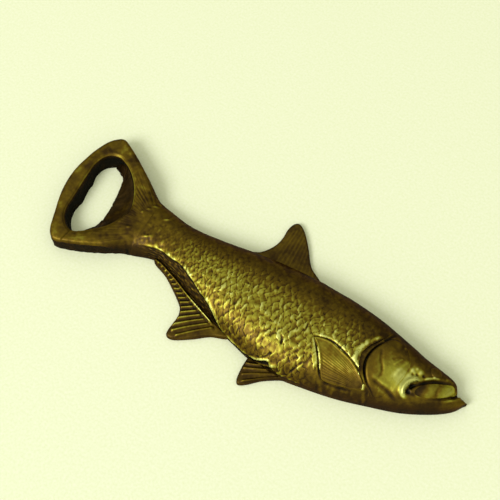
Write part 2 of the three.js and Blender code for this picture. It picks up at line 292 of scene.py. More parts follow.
@dataclass(frozen=True)
class CastBrass:
    """Cast brass with a brown patina that was rubbed back on the high places.

    The hollows keep the dark patina and the crests show the greenish yellow of the metal. The sand
    cast skin gives a soft, slightly grainy gloss.

    Attributes:
        name: the material's name.
        tones: sRGB colours from the deepest hollow to the brightest crest.
        stops: where on the scale from hollow to crest each tone lies.
        edge_tint: colour of its reflection at a grazing angle.
        polish: roughness of the rubbed crests.
        matt: roughness of the patina.
        lacquer: how much of the surface still has its clear lacquer.
        lacquer_matt: roughness of the lacquer.
        mottle: how far the patina's patches move the tone.
        patch: size of the patches, mm.
        speck: size of the specks, mm.
        grit: size of the grain of the cast skin, mm; real sand is finer than this, which is the
            finest that still shows.
        depth: depth of that grain, mm.
        bite: how strongly the grain turns the light.
    """

    name: str
    tones: tuple[str, ...] = ("#171510", "#453214", "#745D18", "#A69E36", "#DBDA80")
    stops: tuple[float, ...] = (0.0, 0.27, 0.5, 0.74, 1.0)
    edge_tint: str = "#9A8440"
    polish: float = 0.44
    matt: float = 0.57
    lacquer: float = 0.09
    lacquer_matt: float = 0.33
    mottle: float = 0.15
    patch: float = 5.0
    speck: float = 1.08
    grit: float = 0.45
    depth: float = 0.03
    bite: float = 0.7

    # detail and roughness of each noise
    PATCH_NOISE = (4.0, 0.62)
    SPECK_NOISE = (2.0, 0.5)
    GRIT_NOISE = (3.0, 0.6)
    PATCH_WEIGHT = 2.0  # the patches move the tone twice as far as the specks

    def make(self) -> bpy.types.Material:
        """Builds the material. Its tone follows the piece's own "patina" attribute.

        Returns:
            The material.
        """
        material = bpy.data.materials.new(self.name)
        material.use_nodes = True
        shader = material.node_tree.nodes["Principled BSDF"]
        patina = add_node(material, "ShaderNodeAttribute", {"attribute_name": "patina"}, {})
        place = add_node(material, "ShaderNodeTexCoord", {}, {}).outputs["Object"]
        noises = []
        for size, (detail, rough) in ((self.patch, self.PATCH_NOISE), (self.speck, self.SPECK_NOISE),
                                      (self.grit, self.GRIT_NOISE)):
            noise = add_node(material, "ShaderNodeTexNoise", {
                "Scale": 1 / (size * MM), "Detail": detail, "Roughness": rough}, {"Vector": place})
            noises.append(noise.outputs["Fac"])
        patches, specks, sand = noises
        broad = add_node(
            material, "ShaderNodeMath", {"operation": "MULTIPLY_ADD", 1: self.mottle * self.PATCH_WEIGHT},
            {0: patches, 2: patina.outputs["Fac"]})
        fine = add_node(material, "ShaderNodeMath", {"operation": "MULTIPLY_ADD", 1: self.mottle},
                        {0: specks, 2: broad.outputs[0]})
        # both noises average a half, so this leaves the mean tone where the patina has it
        mean = self.mottle * (self.PATCH_WEIGHT + 1) / 2
        level = add_node(material, "ShaderNodeMath", {"operation": "SUBTRACT", 1: mean},
                         {0: fine.outputs[0]})
        ramp = add_node(material, "ShaderNodeValToRGB", {}, {"Fac": level.outputs[0]})
        elements = ramp.color_ramp.elements
        for stop, tone in zip(self.stops[1:-1], self.tones[1:-1]):
            elements.new(stop).color = linear(tone)
        elements[0].color = linear(self.tones[0])
        elements[-1].color = linear(self.tones[-1])
        gloss = add_node(material, "ShaderNodeMapRange", {"To Min": self.matt, "To Max": self.polish},
                         {"Value": level.outputs[0]})
        bump = add_node(material, "ShaderNodeBump", {"Strength": self.bite, "Distance": self.depth * MM},
                        {"Height": sand})
        shader.inputs["Metallic"].default_value = 1.0
        shader.inputs["Specular Tint"].default_value = linear(self.edge_tint)
        shader.inputs["Coat Weight"].default_value = self.lacquer
        shader.inputs["Coat Roughness"].default_value = self.lacquer_matt
        material.node_tree.links.new(ramp.outputs["Color"], shader.inputs["Base Color"])
        material.node_tree.links.new(gloss.outputs["Result"], shader.inputs["Roughness"])
        material.node_tree.links.new(bump.outputs["Normal"], shader.inputs["Normal"])
        return material


@dataclass(frozen=True)
class TablePaper:
    """Pale cream card under the fish: uncoated paper, matt, with a faint fibre.

    Attributes:
        name: the material's name.
        light: sRGB colour of the fibres.
        shade: sRGB colour between them.
        fibre: size of the fibre clumps, mm.
        detail: levels of the fibre noise.
        matt: roughness.
        shine: specular level, low because the paper is uncoated.
    """

    name: str = "cream_card"
    light: str = "#FFFFEC"
    shade: str = "#EAEFC6"
    fibre: float = 0.9
    detail: float = 3.0
    matt: float = 0.9
    shine: float = 0.2

    def make(self) -> bpy.types.Material:
        """Builds the material.

        Returns:
            The material.
        """
        material = bpy.data.materials.new(self.name)
        material.use_nodes = True
        shader = material.node_tree.nodes["Principled BSDF"]
        shader.inputs["Roughness"].default_value = self.matt
        shader.inputs["Specular IOR Level"].default_value = self.shine
        place = add_node(material, "ShaderNodeTexCoord", {}, {}).outputs["Object"]
        fibre = add_node(material, "ShaderNodeTexNoise", {
            "Scale": 1 / (self.fibre * MM), "Detail": self.detail}, {"Vector": place})
        ramp = add_node(material, "ShaderNodeValToRGB", {}, {"Fac": fibre.outputs["Fac"]})
        ramp.color_ramp.elements[0].color = linear(self.shade)
        ramp.color_ramp.elements[-1].color = linear(self.light)
        material.node_tree.links.new(ramp.outputs["Color"], shader.inputs["Base Color"])
        return material


FINISHES = {
    Coat.RUBBED: CastBrass("antiqued_cast_brass_rubbed"),
    Coat.DARK: CastBrass("antiqued_cast_brass_brown", mottle=0.17, polish=0.45, patch=3.2),
}


class Palette:
    """Makes each finish once and hands it out."""

    def __init__(self) -> None:
        """Starts with no material made."""
        self.made: dict[Coat, bpy.types.Material] = {}

    def get(self, coat: Coat) -> bpy.types.Material:
        """The material of a coat.

        Args:
            coat: the coat.

        Returns:
            Its material, made the first time that it is asked for.
        """
        if coat not in self.made:
            self.made[coat] = FINISHES[coat].make()
        return self.made[coat]


PALETTE = Palette()


# --------------------------------------------------------------------------- sheets of metal


class Closing(Enum):
    """How the rim of a sheet is closed to a solid."""

    FLAT_BACK = "flat back"
    SKIRT = "skirt"
    NONE = "none"


def cast_piece(name: str, points: Array, patina: Array, coat: Coat, closing: Closing,
               skirt: float = 0.0) -> bpy.types.Object:
    """Casts a closed solid from a sheet of quads.

    Args:
        name: the piece's name, which is also the CAD node that it replaces, with "_cast" added.
        points: corners by row and column, mm. Rows or columns that meet are joined.
        patina: tone by row and column, 0 in the hollows and 1 on the crests.
        coat: the finish.
        closing: how the sheet's rim is closed.
        skirt: how far down a skirt runs, mm.

    Returns:
        The finished piece.
    """
    rows, columns = patina.shape
    bpy.ops.object.select_all(action="DESELECT")
    bpy.ops.mesh.primitive_grid_add(x_subdivisions=columns - 1, y_subdivisions=rows - 1, size=1)
    piece = bpy.context.active_object
    piece.name = piece.data.name = name + "_cast"
    piece.data.vertices.foreach_set("co", (points * MM).astype(np.float32).ravel())
    tone = piece.data.attributes.new("patina", "FLOAT", "POINT")
    tone.data.foreach_set("value", np.clip(patina, 0, 1).astype(np.float32).ravel())
    bpy.ops.object.mode_set(mode="EDIT")
    bpy.ops.mesh.select_mode(type="EDGE")
    bpy.ops.mesh.select_all(action="SELECT")
    bpy.ops.mesh.remove_doubles(threshold=MERGE)
    if closing is not Closing.NONE:
        select_rim()
        bpy.ops.mesh.extrude_region_move(
            TRANSFORM_OT_translate={"value": (0, 0, -skirt * MM)})
        if closing is Closing.FLAT_BACK:
            bpy.ops.transform.resize(value=(1, 1, 0), center_override=(0, 0, 0))
        bpy.ops.mesh.select_all(action="SELECT")
        bpy.ops.mesh.remove_doubles(threshold=MERGE)
        select_rim()
        bpy.ops.mesh.edge_face_add()
    bpy.ops.mesh.select_all(action="SELECT")
    bpy.ops.mesh.normals_make_consistent(inside=False)
    bpy.ops.object.mode_set(mode="OBJECT")
    bpy.ops.object.shade_smooth_by_angle(angle=CREASE)
    dress(piece, name, coat)
    return piece


def select_rim() -> None:
    """Selects the open rim of the mesh in edit mode."""
    bpy.ops.mesh.select_all(action="DESELECT")
    bpy.ops.mesh.select_non_manifold(
        extend=False, use_wire=False, use_boundary=True, use_multi_face=False,
        use_non_contiguous=False, use_verts=False)


def dress(piece: bpy.types.Object, node: str, coat: Coat) -> None:
    """Gives a piece its finish and its place in the frame, and reports it.

    Args:
        piece: the finished piece.
        node: the CAD node that it replaces.
        coat: its finish.
    """
    piece.data.materials.clear()
    piece.data.materials.append(PALETTE.get(coat))
    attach(piece, BODY)
    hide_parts(node)
    log.info("%s: %d faces", piece.name, len(piece.data.polygons))


# the steep sides are darker: partly patina that the rubbing missed, partly painted shade
DARK_SIDES_FROM = (0.35, 0.92)  # share of the crown's height where the rubbing starts and is complete


def unrubbed_and_shaded(up: Array) -> Array:
    """How dark a place stays: 0 near the crown and 1 low down on the steep sides, partly as patina that
    escaped the rubbing and partly as painted shade.
    """
    return 1 - smooth(up, *DARK_SIDES_FROM)


def tone_of(height: Array, reach: int, gain: float, base: Array) -> Array:
    """Patina of a relief: dark where it lies below its surroundings, bright where it stands proud."""
    return base + gain * (height - soften(height, reach))


# --------------------------------------------------------------------------- the fish's form


@dataclass
class Skin:
    """Places on the smooth form.

    Attributes:
        s: share along the body, from the tail joint.
        v: share across it, from the belly edge.
        points: the places, mm.
        normals: outward normals.
        up: height as a share of the section's crown.
    """

    s: Array
    v: Array
    points: Array
    normals: Array
    up: Array

    def raised(self, height: Array) -> Array:
        """The points moved outwards by a height."""
        return self.points + self.normals * height[..., None]


@dataclass
class FishForm:
    """The smooth form of the body, as the CAD solids have it.

    Attributes:
        start: x of the tail joint, mm.
        axis: y of the line from the tail joint that the outline's shares are measured from, mm.
        length: tail joint to jaw tip, mm.
        depth: dorsal to belly edge at the deepest, mm.
        thickness: flat back to the crown, mm.
        tail_thickness: thickness at the tail joint, mm.
        fullness: the section's exponent.
    """

    start: float
    axis: float
    length: float
    depth: float
    thickness: float
    tail_thickness: float
    fullness: float = 2.6

    STATIONS = 241
    ANGLES = 901
    SHARES = 301
    STEP = 1e-4  # share along over which a slope is read
    TURNS = 8  # rounds it takes for a band's ends to settle on their lines

    DORSAL = (
        (0, 0.28), (0.1, 0.216), (0.2, 0.242), (0.3, 0.298), (0.4, 0.345), (0.5, 0.372), (0.6, 0.377),
        (0.7, 0.344), (0.78, 0.287), (0.86, 0.227), (0.925, 0.192), (0.954, 0.16), (0.968, 0.085),
        (1, 0.07))
    BELLY = (
        (0, -0.31), (0.07, -0.235), (0.14, -0.292), (0.2, -0.37), (0.26, -0.44), (0.32, -0.502),
        (0.38, -0.55), (0.45, -0.603), (0.535, -0.617), (0.62, -0.568), (0.7, -0.505), (0.78, -0.415),
        (0.86, -0.315), (0.925, -0.195), (0.97, -0.082), (1, 0.035))
    CROWN = (
        (0, 0), (0.08, 0.1), (0.3, 0.85), (0.45, 1), (0.62, 1), (0.74, 0.92), (0.85, 0.62),
        (0.93, 0.15), (1, -0.85))

    @classmethod
    def from_frame(cls) -> "FishForm":
        """Reads the form's sizes off the CAD nodes.

        Returns:
            The form.
        """
        trunk_low, trunk_high = (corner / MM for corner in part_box("trunk"))
        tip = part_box("lower_jaw")[1] / MM
        tail_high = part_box("tail_loop")[1] / MM
        shares = np.linspace(0, 1, 400)
        top, bottom = profile(cls.DORSAL, shares).max(), profile(cls.BELLY, shares).min()
        depth = (trunk_high.y - trunk_low.y) / (top - bottom)
        return cls(start=trunk_low.x, axis=trunk_high.y - top * depth, length=tip.x - trunk_low.x,
                   depth=depth, thickness=trunk_high.z, tail_thickness=tail_high.z)

    def __post_init__(self) -> None:
        """Tabulates the section's angle by share of its girth, station by station."""
        self.stations = np.linspace(0, 1, self.STATIONS)
        angle = np.linspace(0, np.pi, self.ANGLES)
        across = self.across(angle)
        up = (1 - np.abs(across) ** self.fullness).clip(0) ** (1 / self.fullness)
        half = self.half(self.stations)
        steps = np.hypot(half[:, None] * np.diff(across), self.crown(self.stations)[:, None] * np.diff(up))
        run = np.concatenate([np.zeros((len(half), 1)), np.cumsum(steps, axis=1)], axis=1)
        self.shares = np.linspace(0, 1, self.SHARES)
        self.angles = np.array([np.interp(self.shares * row[-1], row, angle) for row in run])
        self.girth = run[:, -1]
        self.full_girth = self.girth.max()
        stretch = self.full_girth / self.girth
        step = np.diff(self.stations) * self.length
        self.unrolled = np.concatenate([[0], np.cumsum((stretch[1:] + stretch[:-1]) / 2 * step)])

    def across(self, angle: Array) -> Array:
        """Place across the section, -1 to 1, at an angle from the dorsal edge."""
        return np.sign(np.cos(angle)) * np.abs(np.cos(angle)) ** (2 / self.fullness)

    def dorsal(self, s: Array) -> Array:
        """Dorsal edge of the outline from the axis, mm."""
        return profile(self.DORSAL, s) * self.depth

    def belly(self, s: Array) -> Array:
        """Belly edge of the outline from the axis, mm."""
        return profile(self.BELLY, s) * self.depth

    def middle(self, s: Array) -> Array:
        """Middle of the outline from the axis, mm."""
        return (self.dorsal(s) + self.belly(s)) / 2

    def half(self, s: Array) -> Array:
        """Half the width of the outline, mm."""
        return (self.dorsal(s) - self.belly(s)) / 2

    def crown(self, s: Array) -> Array:
        """Height of the section's crown, mm."""
        return blend(self.tail_thickness, self.thickness, profile(self.CROWN, s))

    def slope(self, measure: Callable[[Array], Array], s: Array) -> Array:
        """Rise of a measure of the section for each mm along the body."""
        return (measure(s + self.STEP) - measure(s - self.STEP)) / (2 * self.STEP * self.length)

    def skin(self, s: Array, across: Array) -> Skin:
        """Places on the form.

        Args:
            s: shares along the body.
            across: places across the section, -1 at the belly edge and 1 at the dorsal edge.

        Returns:
            The places, with their normals.
        """
        n = self.fullness
        half, crown = self.half(s), self.crown(s)
        up = (1 - np.abs(across) ** n).clip(0) ** (1 / n)
        side = np.sign(across) * np.abs(across) ** (n - 1)
        top = up ** (n - 1)
        lean = self.slope(self.middle, s) + across * self.slope(self.half, s)
        ahead = -side * lean / half - top * up * self.slope(self.crown, s) / crown
        normals = np.stack([ahead, side / half, top / crown], -1)
        normals /= np.linalg.norm(normals, axis=-1, keepdims=True)
        y = self.axis + self.middle(s) + half * across
        points = np.stack([self.start + s * self.length, y, crown * up], -1)
        return Skin(s, (1 + across) / 2, points, normals, up)

    def wrap(self, s: Array, q: Array) -> Skin:
        """Places on the form by share of the girth.

        Args:
            s: shares along the body.
            q: shares of the girth, 0 at the dorsal edge and 1 at the belly edge.

        Returns:
            The places, with their normals.
        """
        row = np.clip(s, 0, 1) * (len(self.stations) - 1)
        column = np.clip(q, 0, 1) * (len(self.shares) - 1)
        i = np.minimum(row.astype(int), len(self.stations) - 2)
        j = np.minimum(column.astype(int), len(self.shares) - 2)
        a, b = row - i, column - j
        near = blend(self.angles[i, j], self.angles[i + 1, j], a)
        far = blend(self.angles[i, j + 1], self.angles[i + 1, j + 1], a)
        return self.skin(s, self.across(blend(near, far, b)))

    def between(self, rear: Path, front: Path, rows: int, columns: int) -> tuple[Skin, Array]:
        """The band of skin between two lines across the body.

        Args:
            rear: (share along, share across) points of the rear line, from belly to dorsal side.
            front: the same for the front line.
            rows: places along the band.
            columns: places around it.

        Returns:
            The band by row and column, and each place's share of the girth.
        """
        q = np.linspace(0, 1, columns)
        ends = []
        for line in (rear, front):
            share = np.full(columns, line[len(line) // 2][0])
            path = curve([(v, s) for s, v in line], 120)
            for _ in range(self.TURNS):
                share = np.interp(self.wrap(share, q).v, path[:, 0], path[:, 1])
            ends.append(share)
        t = np.linspace(0, 1, rows)[:, None]
        s = blend(ends[0][None, :], ends[1][None, :], t)
        q = np.broadcast_to(q, s.shape)
        return self.wrap(s, q), q

    def lift(self, path: Array) -> Array:
        """Points of (share along, share across) places on the form."""
        places = np.array(path, float)
        return self.skin(places[:, 0], 2 * places[:, 1] - 1).points

    def plan(self, x: Array, y: Array) -> Array:
        """Plan places from millimetres along and across, measured from the tail joint."""
        return np.stack([self.start + np.asarray(x, float), self.axis + np.asarray(y, float)], -1)


STROKE_STEPS = 36
STROKE_REACH = 2.4  # widths from its line beyond which a stroke has gone


@dataclass(frozen=True)
class Stroke:
    """A ridge or a groove tooled along the form.

    Attributes:
        path: (share along, share across) points.
        width: how wide it is, from its line to where it has almost gone, mm.
        height: how far it stands up, or how deep it is where negative, mm.
        fade: share of its length over which each end dies out.
    """

    path: Path
    width: float
    height: float
    fade: Point = (0.2, 0.2)

    def relief(self, form: FishForm, skin: Skin) -> Array:
        """The stroke's height at each place of a skin."""
        line = form.lift(curve(self.path, STROKE_STEPS))
        return stroke_relief(skin.points, line, self.width, self.height, self.fade)


def stroke_relief(places: Array, line: Array, width: float, height: float,
                  fade: Point = (0.2, 0.2)) -> Array:
    """Height of a ridge or groove along a line.

    Args:
        places: points by row and column, in as many coordinates as the line has.
        line: the corners of the line.
        width: how far from the line it has almost gone, mm.
        height: its height on the line, mm.
        fade: share of the length over which each end dies out.

    Returns:
        The height by row and column.
    """
    result = np.zeros(places.shape[:-1])
    low, high = line.min(0) - STROKE_REACH * width, line.max(0) + STROKE_REACH * width
    near = ((places > low) & (places < high)).all(-1)
    if near.any():
        distance, share, _ = nearest(places[near], line)
        strength = hump(distance, 0, width)
        for end, place in ((fade[0], share), (fade[1], 1 - share)):
            strength = strength * (smooth(place, -0.01, end) if end else 1)
        result[near] = height * strength
    return result


@dataclass(frozen=True)
class Knob:
    """A small bump, or a pit where its height is negative.

    Attributes:
        place: shares along and across.
        radius: its size, mm.
        height: its height, mm.
    """

    place: Point
    radius: float
    height: float

    def relief(self, form: FishForm, skin: Skin) -> Array:
        """The knob's height at each place of a skin."""
        distance = np.linalg.norm(skin.points - form.lift([self.place])[0], axis=-1)
        return self.height * hump(distance, 0, self.radius)


# small lumps of the casting by the root of the tail: mm along and across from the joint, half length
CASTING_LUMPS = (
    (-1.2, 6.9, 1.2), (-2.6, 4.5, 0.9), (5.7, 4.2, 1.1), (2.9, -5.1, 1.4), (-3.9, 2.2, 0.6),
    (-4.8, -5.6, 0.9))
LUMP_WIDTH = 0.55  # half width, mm
LUMP_HEIGHT = 0.3  # mm
LUMP_TURN = math.radians(30)
# line along which it is darker by the lower edge at the root of the tail, mm along and across from the joint
ROOT_DARK_LINE = ((-16.0, -8.6), (-8.0, -7.6), (0.0, -7.0), (6.0, -5.6), (11.0, -6.5))
ROOT_DARK_WIDTH = 3.2  # mm
ROOT_DARK_AMOUNT = 0.05


def casting_lumps(x: Array, y: Array) -> Array:
    """Height of the lumps of the casting.

    Args:
        x: mm along from the tail joint.
        y: mm across from it.

    Returns:
        The height, mm.
    """
    height = np.zeros(x.shape)
    for lump_x, lump_y, half in CASTING_LUMPS:
        along = (x - lump_x) * math.cos(LUMP_TURN) + (y - lump_y) * math.sin(LUMP_TURN)
        aside = (y - lump_y) * math.cos(LUMP_TURN) - (x - lump_x) * math.sin(LUMP_TURN)
        height = height + LUMP_HEIGHT * hump(along, 0, half) * hump(aside, 0, LUMP_WIDTH)
    return height


def root_darkening(x: Array, y: Array) -> Array:
    """How much darker it is along the lower edge at the root of the tail, at the same places."""
    return stroke_relief(np.stack([x, y], -1), curve(ROOT_DARK_LINE, 30), ROOT_DARK_WIDTH, -ROOT_DARK_AMOUNT, (0.3, 0.3))


SHOULDER: Path = (
    (0.782, -0.3), (0.774, 0.03), (0.755, 0.14), (0.727, 0.22), (0.708, 0.36), (0.703, 0.46),
    (0.71, 0.57), (0.728, 0.7), (0.742, 0.86), (0.75, 1.3))
JAW_LINE: Path = (
    (0.842, -0.4), (0.852, 0.04), (0.875, 0.12), (0.905, 0.19), (0.932, 0.26), (0.95, 0.34),
    (0.966, 0.6), (0.976, 1.6))
TAIL_JOINT: Path = ((0.0, -0.5), (0.0, 0.5), (0.0, 1.5))
SNOUT_TIP: Path = ((1.0, -0.5), (1.0, 0.5), (1.0, 1.5))

PECTORAL: Path = (
    (0.575, 0.405), (0.618, 0.43), (0.667, 0.38), (0.697, 0.33), (0.727, 0.24), (0.748, 0.15),
    (0.745, 0.085), (0.7, 0.07), (0.65, 0.07), (0.633, 0.13), (0.614, 0.24), (0.592, 0.34))
GILL_COVER: Path = (
    (0.785, 0.06), (0.765, 0.13), (0.747, 0.2), (0.731, 0.3), (0.722, 0.41), (0.723, 0.53),
    (0.733, 0.65), (0.749, 0.79), (0.775, 0.84), (0.8, 0.8), (0.82, 0.66), (0.826, 0.45),
    (0.818, 0.25), (0.805, 0.1))
UPPER_JAW: Path = (
    (0.868, 0.27), (0.87, 0.36), (0.883, 0.45), (0.9, 0.53), (0.918, 0.6), (0.935, 0.68), (0.949, 0.74),
    (0.957, 0.62), (0.949, 0.42), (0.935, 0.31), (0.914, 0.25), (0.893, 0.22), (0.877, 0.23))

HEAD_STROKES = (
    # the slit behind the gill cover and its line up the nape
    Stroke(((0.785, 0.07), (0.765, 0.125), (0.747, 0.195), (0.731, 0.295), (0.721, 0.41), (0.7215, 0.53),
            (0.731, 0.65), (0.746, 0.78)), 0.32, -0.45, (0.25, 0.25)),
    Stroke(((0.736, 0.72), (0.747, 0.82), (0.757, 0.92)), 0.6, -0.4, (0.1, 0.5)),
    # edge of the cheek plate
    Stroke(((0.742, 0.62), (0.752, 0.5), (0.765, 0.42), (0.772, 0.34), (0.768, 0.27)), 0.6, -0.28),
    Stroke(((0.757, 0.27), (0.766, 0.235), (0.78, 0.209), (0.795, 0.186), (0.812, 0.151), (0.829, 0.106),
            (0.846, 0.075)), 0.95, -0.42, (0.25, 0.3)),
    Stroke(((0.752, 0.3), (0.764, 0.262), (0.778, 0.24), (0.793, 0.22), (0.81, 0.19)),
           0.8, 0.15, (0.3, 0.4)),
    # folds of the cheek
    Stroke(((0.818, 0.69), (0.813, 0.6), (0.807, 0.5), (0.803, 0.4), (0.8, 0.32)), 1.0, 0.5, (0.2, 0.45)),
    Stroke(((0.83, 0.68), (0.829, 0.57), (0.826, 0.46), (0.824, 0.36), (0.825, 0.27)), 0.6, -0.22),
    Stroke(((0.803, 0.66), (0.795, 0.58), (0.787, 0.5)), 0.5, 0.22),
    Stroke(((0.797, 0.68), (0.787, 0.61), (0.778, 0.55)), 0.6, -0.12),
    # fold of skin round the corner of the mouth
    Stroke(((0.869, 0.5), (0.858, 0.487), (0.847, 0.44), (0.8395, 0.38), (0.8365, 0.304), (0.8395, 0.229),
            (0.847, 0.178), (0.858, 0.148), (0.868, 0.135)), 0.9, 1.1, (0.12, 0.2)),
    Stroke(((0.872, 0.47), (0.862, 0.453), (0.854, 0.41), (0.8485, 0.35)), 0.32, -0.35),
    Stroke(((0.852, 0.2), (0.851, 0.27), (0.855, 0.34), (0.862, 0.4)), 0.6, -0.4),
    # groove over the upper jaw and the brow above it
    Stroke(((0.852, 0.3), (0.859, 0.37), (0.871, 0.44), (0.886, 0.515), (0.901, 0.58), (0.917, 0.64),
            (0.931, 0.695), (0.943, 0.75)), 0.75, -0.75, (0.05, 0.25)),
    Stroke(((0.873, 0.53), (0.885, 0.595), (0.898, 0.655), (0.912, 0.7)), 0.55, 0.35),
    Stroke(((0.92, 0.76), (0.935, 0.8), (0.948, 0.8)), 0.6, 0.2),
)
HEAD_KNOBS = (
    Knob((0.856, 0.24), 0.5, -0.4),
    Knob((0.834, 0.585), 0.9, 0.3), Knob((0.859, 0.62), 1.05, 0.36), Knob((0.852, 0.555), 0.5, -0.3),
    Knob((0.845, 0.64), 0.6, 0.3), Knob((0.842, 0.53), 0.5, -0.3), Knob((0.869, 0.585), 0.6, -0.35),
    Knob((0.793, 0.8), 0.5, 0.25), Knob((0.938, 0.86), 0.45, -0.35), Knob((0.893, 0.66), 0.5, 0.3),
)
JAW_STROKES = (
    Stroke(((0.868, 0.14), (0.885, 0.155), (0.905, 0.19), (0.932, 0.26), (0.95, 0.34), (0.962, 0.5),
            (0.968, 0.75), (0.971, 1.0)), 0.5, -0.6, (0.2, 0.0)),
    Stroke(((0.92, 0.165), (0.938, 0.215), (0.953, 0.285), (0.964, 0.42), (0.972, 0.62), (0.98, 0.85)),
           0.55, 0.55, (0.35, 0.2)),
)


HEAD_LUMPS = ((0.1, 3.4, 0, 0), (0.05, 1.5, 40, 0), (0.02, 0.7, 0, 9))
BELLY_EDGE = (0.0, 0.05)  # shares across between which relief fades in from the flat back
DORSAL_EDGE = (0.96, 1.0)


def in_plan(form: FishForm, outline: Path, count: int) -> Array:
    """A closed outline given in shares, as plan points."""
    return form.lift(curve(outline, count, closed=True))[:, :2]


POCKET_SLOPE = 0.8  # mm over which the floor of a pocket is reached
POCKET_STEPS = 90


def sunk_under(form: FishForm, skin: Skin, outline: Path, depth: float, margin: float) -> Array:
    """Relief that makes room under a raised plate.

    Args:
        form: the fish's form.
        skin: the places of the host.
        outline: the plate's outline, in shares.
        depth: how deep the room is, mm.
        margin: how far inside the plate's edge it begins, mm.

    Returns:
        The relief by row and column, zero outside the plate.
    """
    edge = in_plan(form, outline, POCKET_STEPS)
    places = skin.points[..., :2].reshape(-1, 2)
    within = inside(places, edge)
    room = np.zeros(len(places))
    distance = nearest(places[within], edge)[0]
    room[within] = -depth * smooth(distance, margin, margin + POCKET_SLOPE)
    return room.reshape(skin.s.shape)


def plate_skin(form: FishForm, outline: Path, rings: int, columns: int) -> tuple[Skin, Array]:
    """Places over a closed outline, from its middle out to its edge.

    Args:
        form: the fish's form.
        outline: the outline, in shares.
        rings: places from the middle to the edge.
        columns: places around.

    Returns:
        The skin by ring and column, and each place's distance from the edge in mm.
    """
    edge = curve(outline, columns, closed=True)
    middle = edge[:-1].mean(0)
    share = np.linspace(0, 1, rings)[:, None]
    places = middle + share[..., None] * (edge - middle)
    skin = form.skin(places[..., 0], 2 * places[..., 1] - 1)
    rim = skin.points[-1]
    distance = nearest(skin.points.reshape(-1, 3), rim)[0].reshape(skin.s.shape)
    return skin, distance


def head_relief(form: FishForm, skin: Skin) -> Array:
    """Relief that the head, its plates and the lower jaw share, so that lines run across them.

    Args:
        form: the fish's form.
        skin: the places.

    Returns:
        The relief by row and column, mm, which fades to nothing at the flat back.
    """
    relief = GRAIN.relief(skin.points[..., 0], skin.points[..., 1], HEAD_LUMPS)
    for mark in HEAD_STROKES + HEAD_KNOBS + JAW_STROKES:
        relief = relief + mark.relief(form, skin)
    return relief * smooth(skin.v, *BELLY_EDGE) * (1 - smooth(skin.v, *DORSAL_EDGE))


# --------------------------------------------------------------------------- trunk


@dataclass(frozen=True)
class ScaleCoat:
    """Overlapping scales, laid from tail to head as on a real fish.

    Attributes:
        column: spacing of the scales along a row, mm at the deepest part of the body.
        row: spacing of the rows, mm there; neighbouring rows are half a column apart.
        reach: half the length of a scale, mm.
        spread: half its height, mm.
        rise: thickness of its free edge, mm.
        edge: share of the scale over which its edge rolls down.
        wander: how far the hand-cut pattern strays, mm.
        chase: depth of the chasing marks that run across the scales, mm.
        line: share of the scale that keeps its dark border.
    """

    column: float = 2.7
    row: float = 2.35
    reach: float = 1.85
    spread: float = 2.55
    rise: float = 0.23
    edge: float = 0.06
    wander: float = 0.8
    chase: float = 0.04
    line: float = 0.36

    STRAY = (2.6, 2.9)  # size of the wander along and around, mm
    QUIVER = (0.3, 1.1)  # height and size of its fine part, mm
    STAGGER = 0.5  # neighbouring rows are half a scale apart
    UNEVEN = 0.45  # how far the scales differ in thickness
    TILT = (0.45, 0.55)  # thickness at the scale's middle, and how much it gains to its free edge
    PATCHY = (0.35, 7.0)  # how far the depth of the pattern varies, and over what length, mm

    def relief(self, along: Array, around: Array, chased: Array) -> tuple[Array, Array]:
        """The scales' relief at unrolled places.

        Args:
            along: mm along the body.
            around: mm around the body.
            chased: how many times as deep the chasing marks are.

        Returns:
            The height in mm, and how near each place lies to the border of its scale: 1 on it.
        """
        quiver = self.QUIVER[0] * GRAIN.at(along, around + 9, self.QUIVER[1])
        u = along + self.wander * GRAIN.at(along, around, self.STRAY[0]) + quiver
        w = around + self.wander * GRAIN.at(around + 31, along, self.STRAY[1])
        first = np.round(w / self.row)
        best = np.full(u.shape, -np.inf)
        height = np.zeros(u.shape)
        border = np.zeros(u.shape)
        for step in range(-2, 3):
            row = first + step
            off = w - row * self.row
            half = self.reach * np.sqrt((1 - (off / self.spread) ** 2).clip(0))
            phase = self.STAGGER * (row % 2)
            centre = (np.floor((u + half) / self.column - phase) + phase) * self.column
            wins = (np.abs(u - centre) < half) & (centre > best)
            tilt = self.TILT[0] + self.TILT[1] * (centre - u) / self.reach
            rim = 1 - ((u - centre) / self.reach) ** 2 - (off / self.spread) ** 2
            size = 1 + self.UNEVEN * GRAIN.cell(np.floor(centre / self.column * 2), row)
            scale = self.rise * size * tilt * smooth(rim, 0, self.edge * 2)
            height = np.where(wins, scale, height)
            border = np.where(wins, 1 - smooth(rim, 0.02, self.line), border)
            best = np.where(wins, centre, best)
        # chased lines, longer around the body than along it
        marks = 1 - 2 * np.abs(GRAIN.at(u / 1.25, w / 3.4, 1.0)) + 0.5 * GRAIN.at(u / 0.8, w / 2.0, 1.0)
        patchy = 1 + self.PATCHY[0] * GRAIN.at(along, around, self.PATCHY[1])
        return height * patchy + self.chase * chased * marks, border * patchy


@dataclass
class Zones:
    """Zones of the flank, by row and column and mostly from 0 to 1.

    Attributes:
        flank: the scaled skin; the rest is the bare belly behind it.
        back: the smooth back.
        calm: an even patch low on the flank.
        cover: how strongly the scales show.
        rear: all that lies behind the pelvic fin.
        broken: breaks up what runs along an edge.
        step: where the scaled skin stands proud of the bare belly.
        lit: the broken edge of that step, which the tone brightens as a painted highlight.
    """

    flank: Array
    back: Array
    calm: Array
    cover: Array
    rear: Array
    broken: Array
    step: Array
    lit: Array


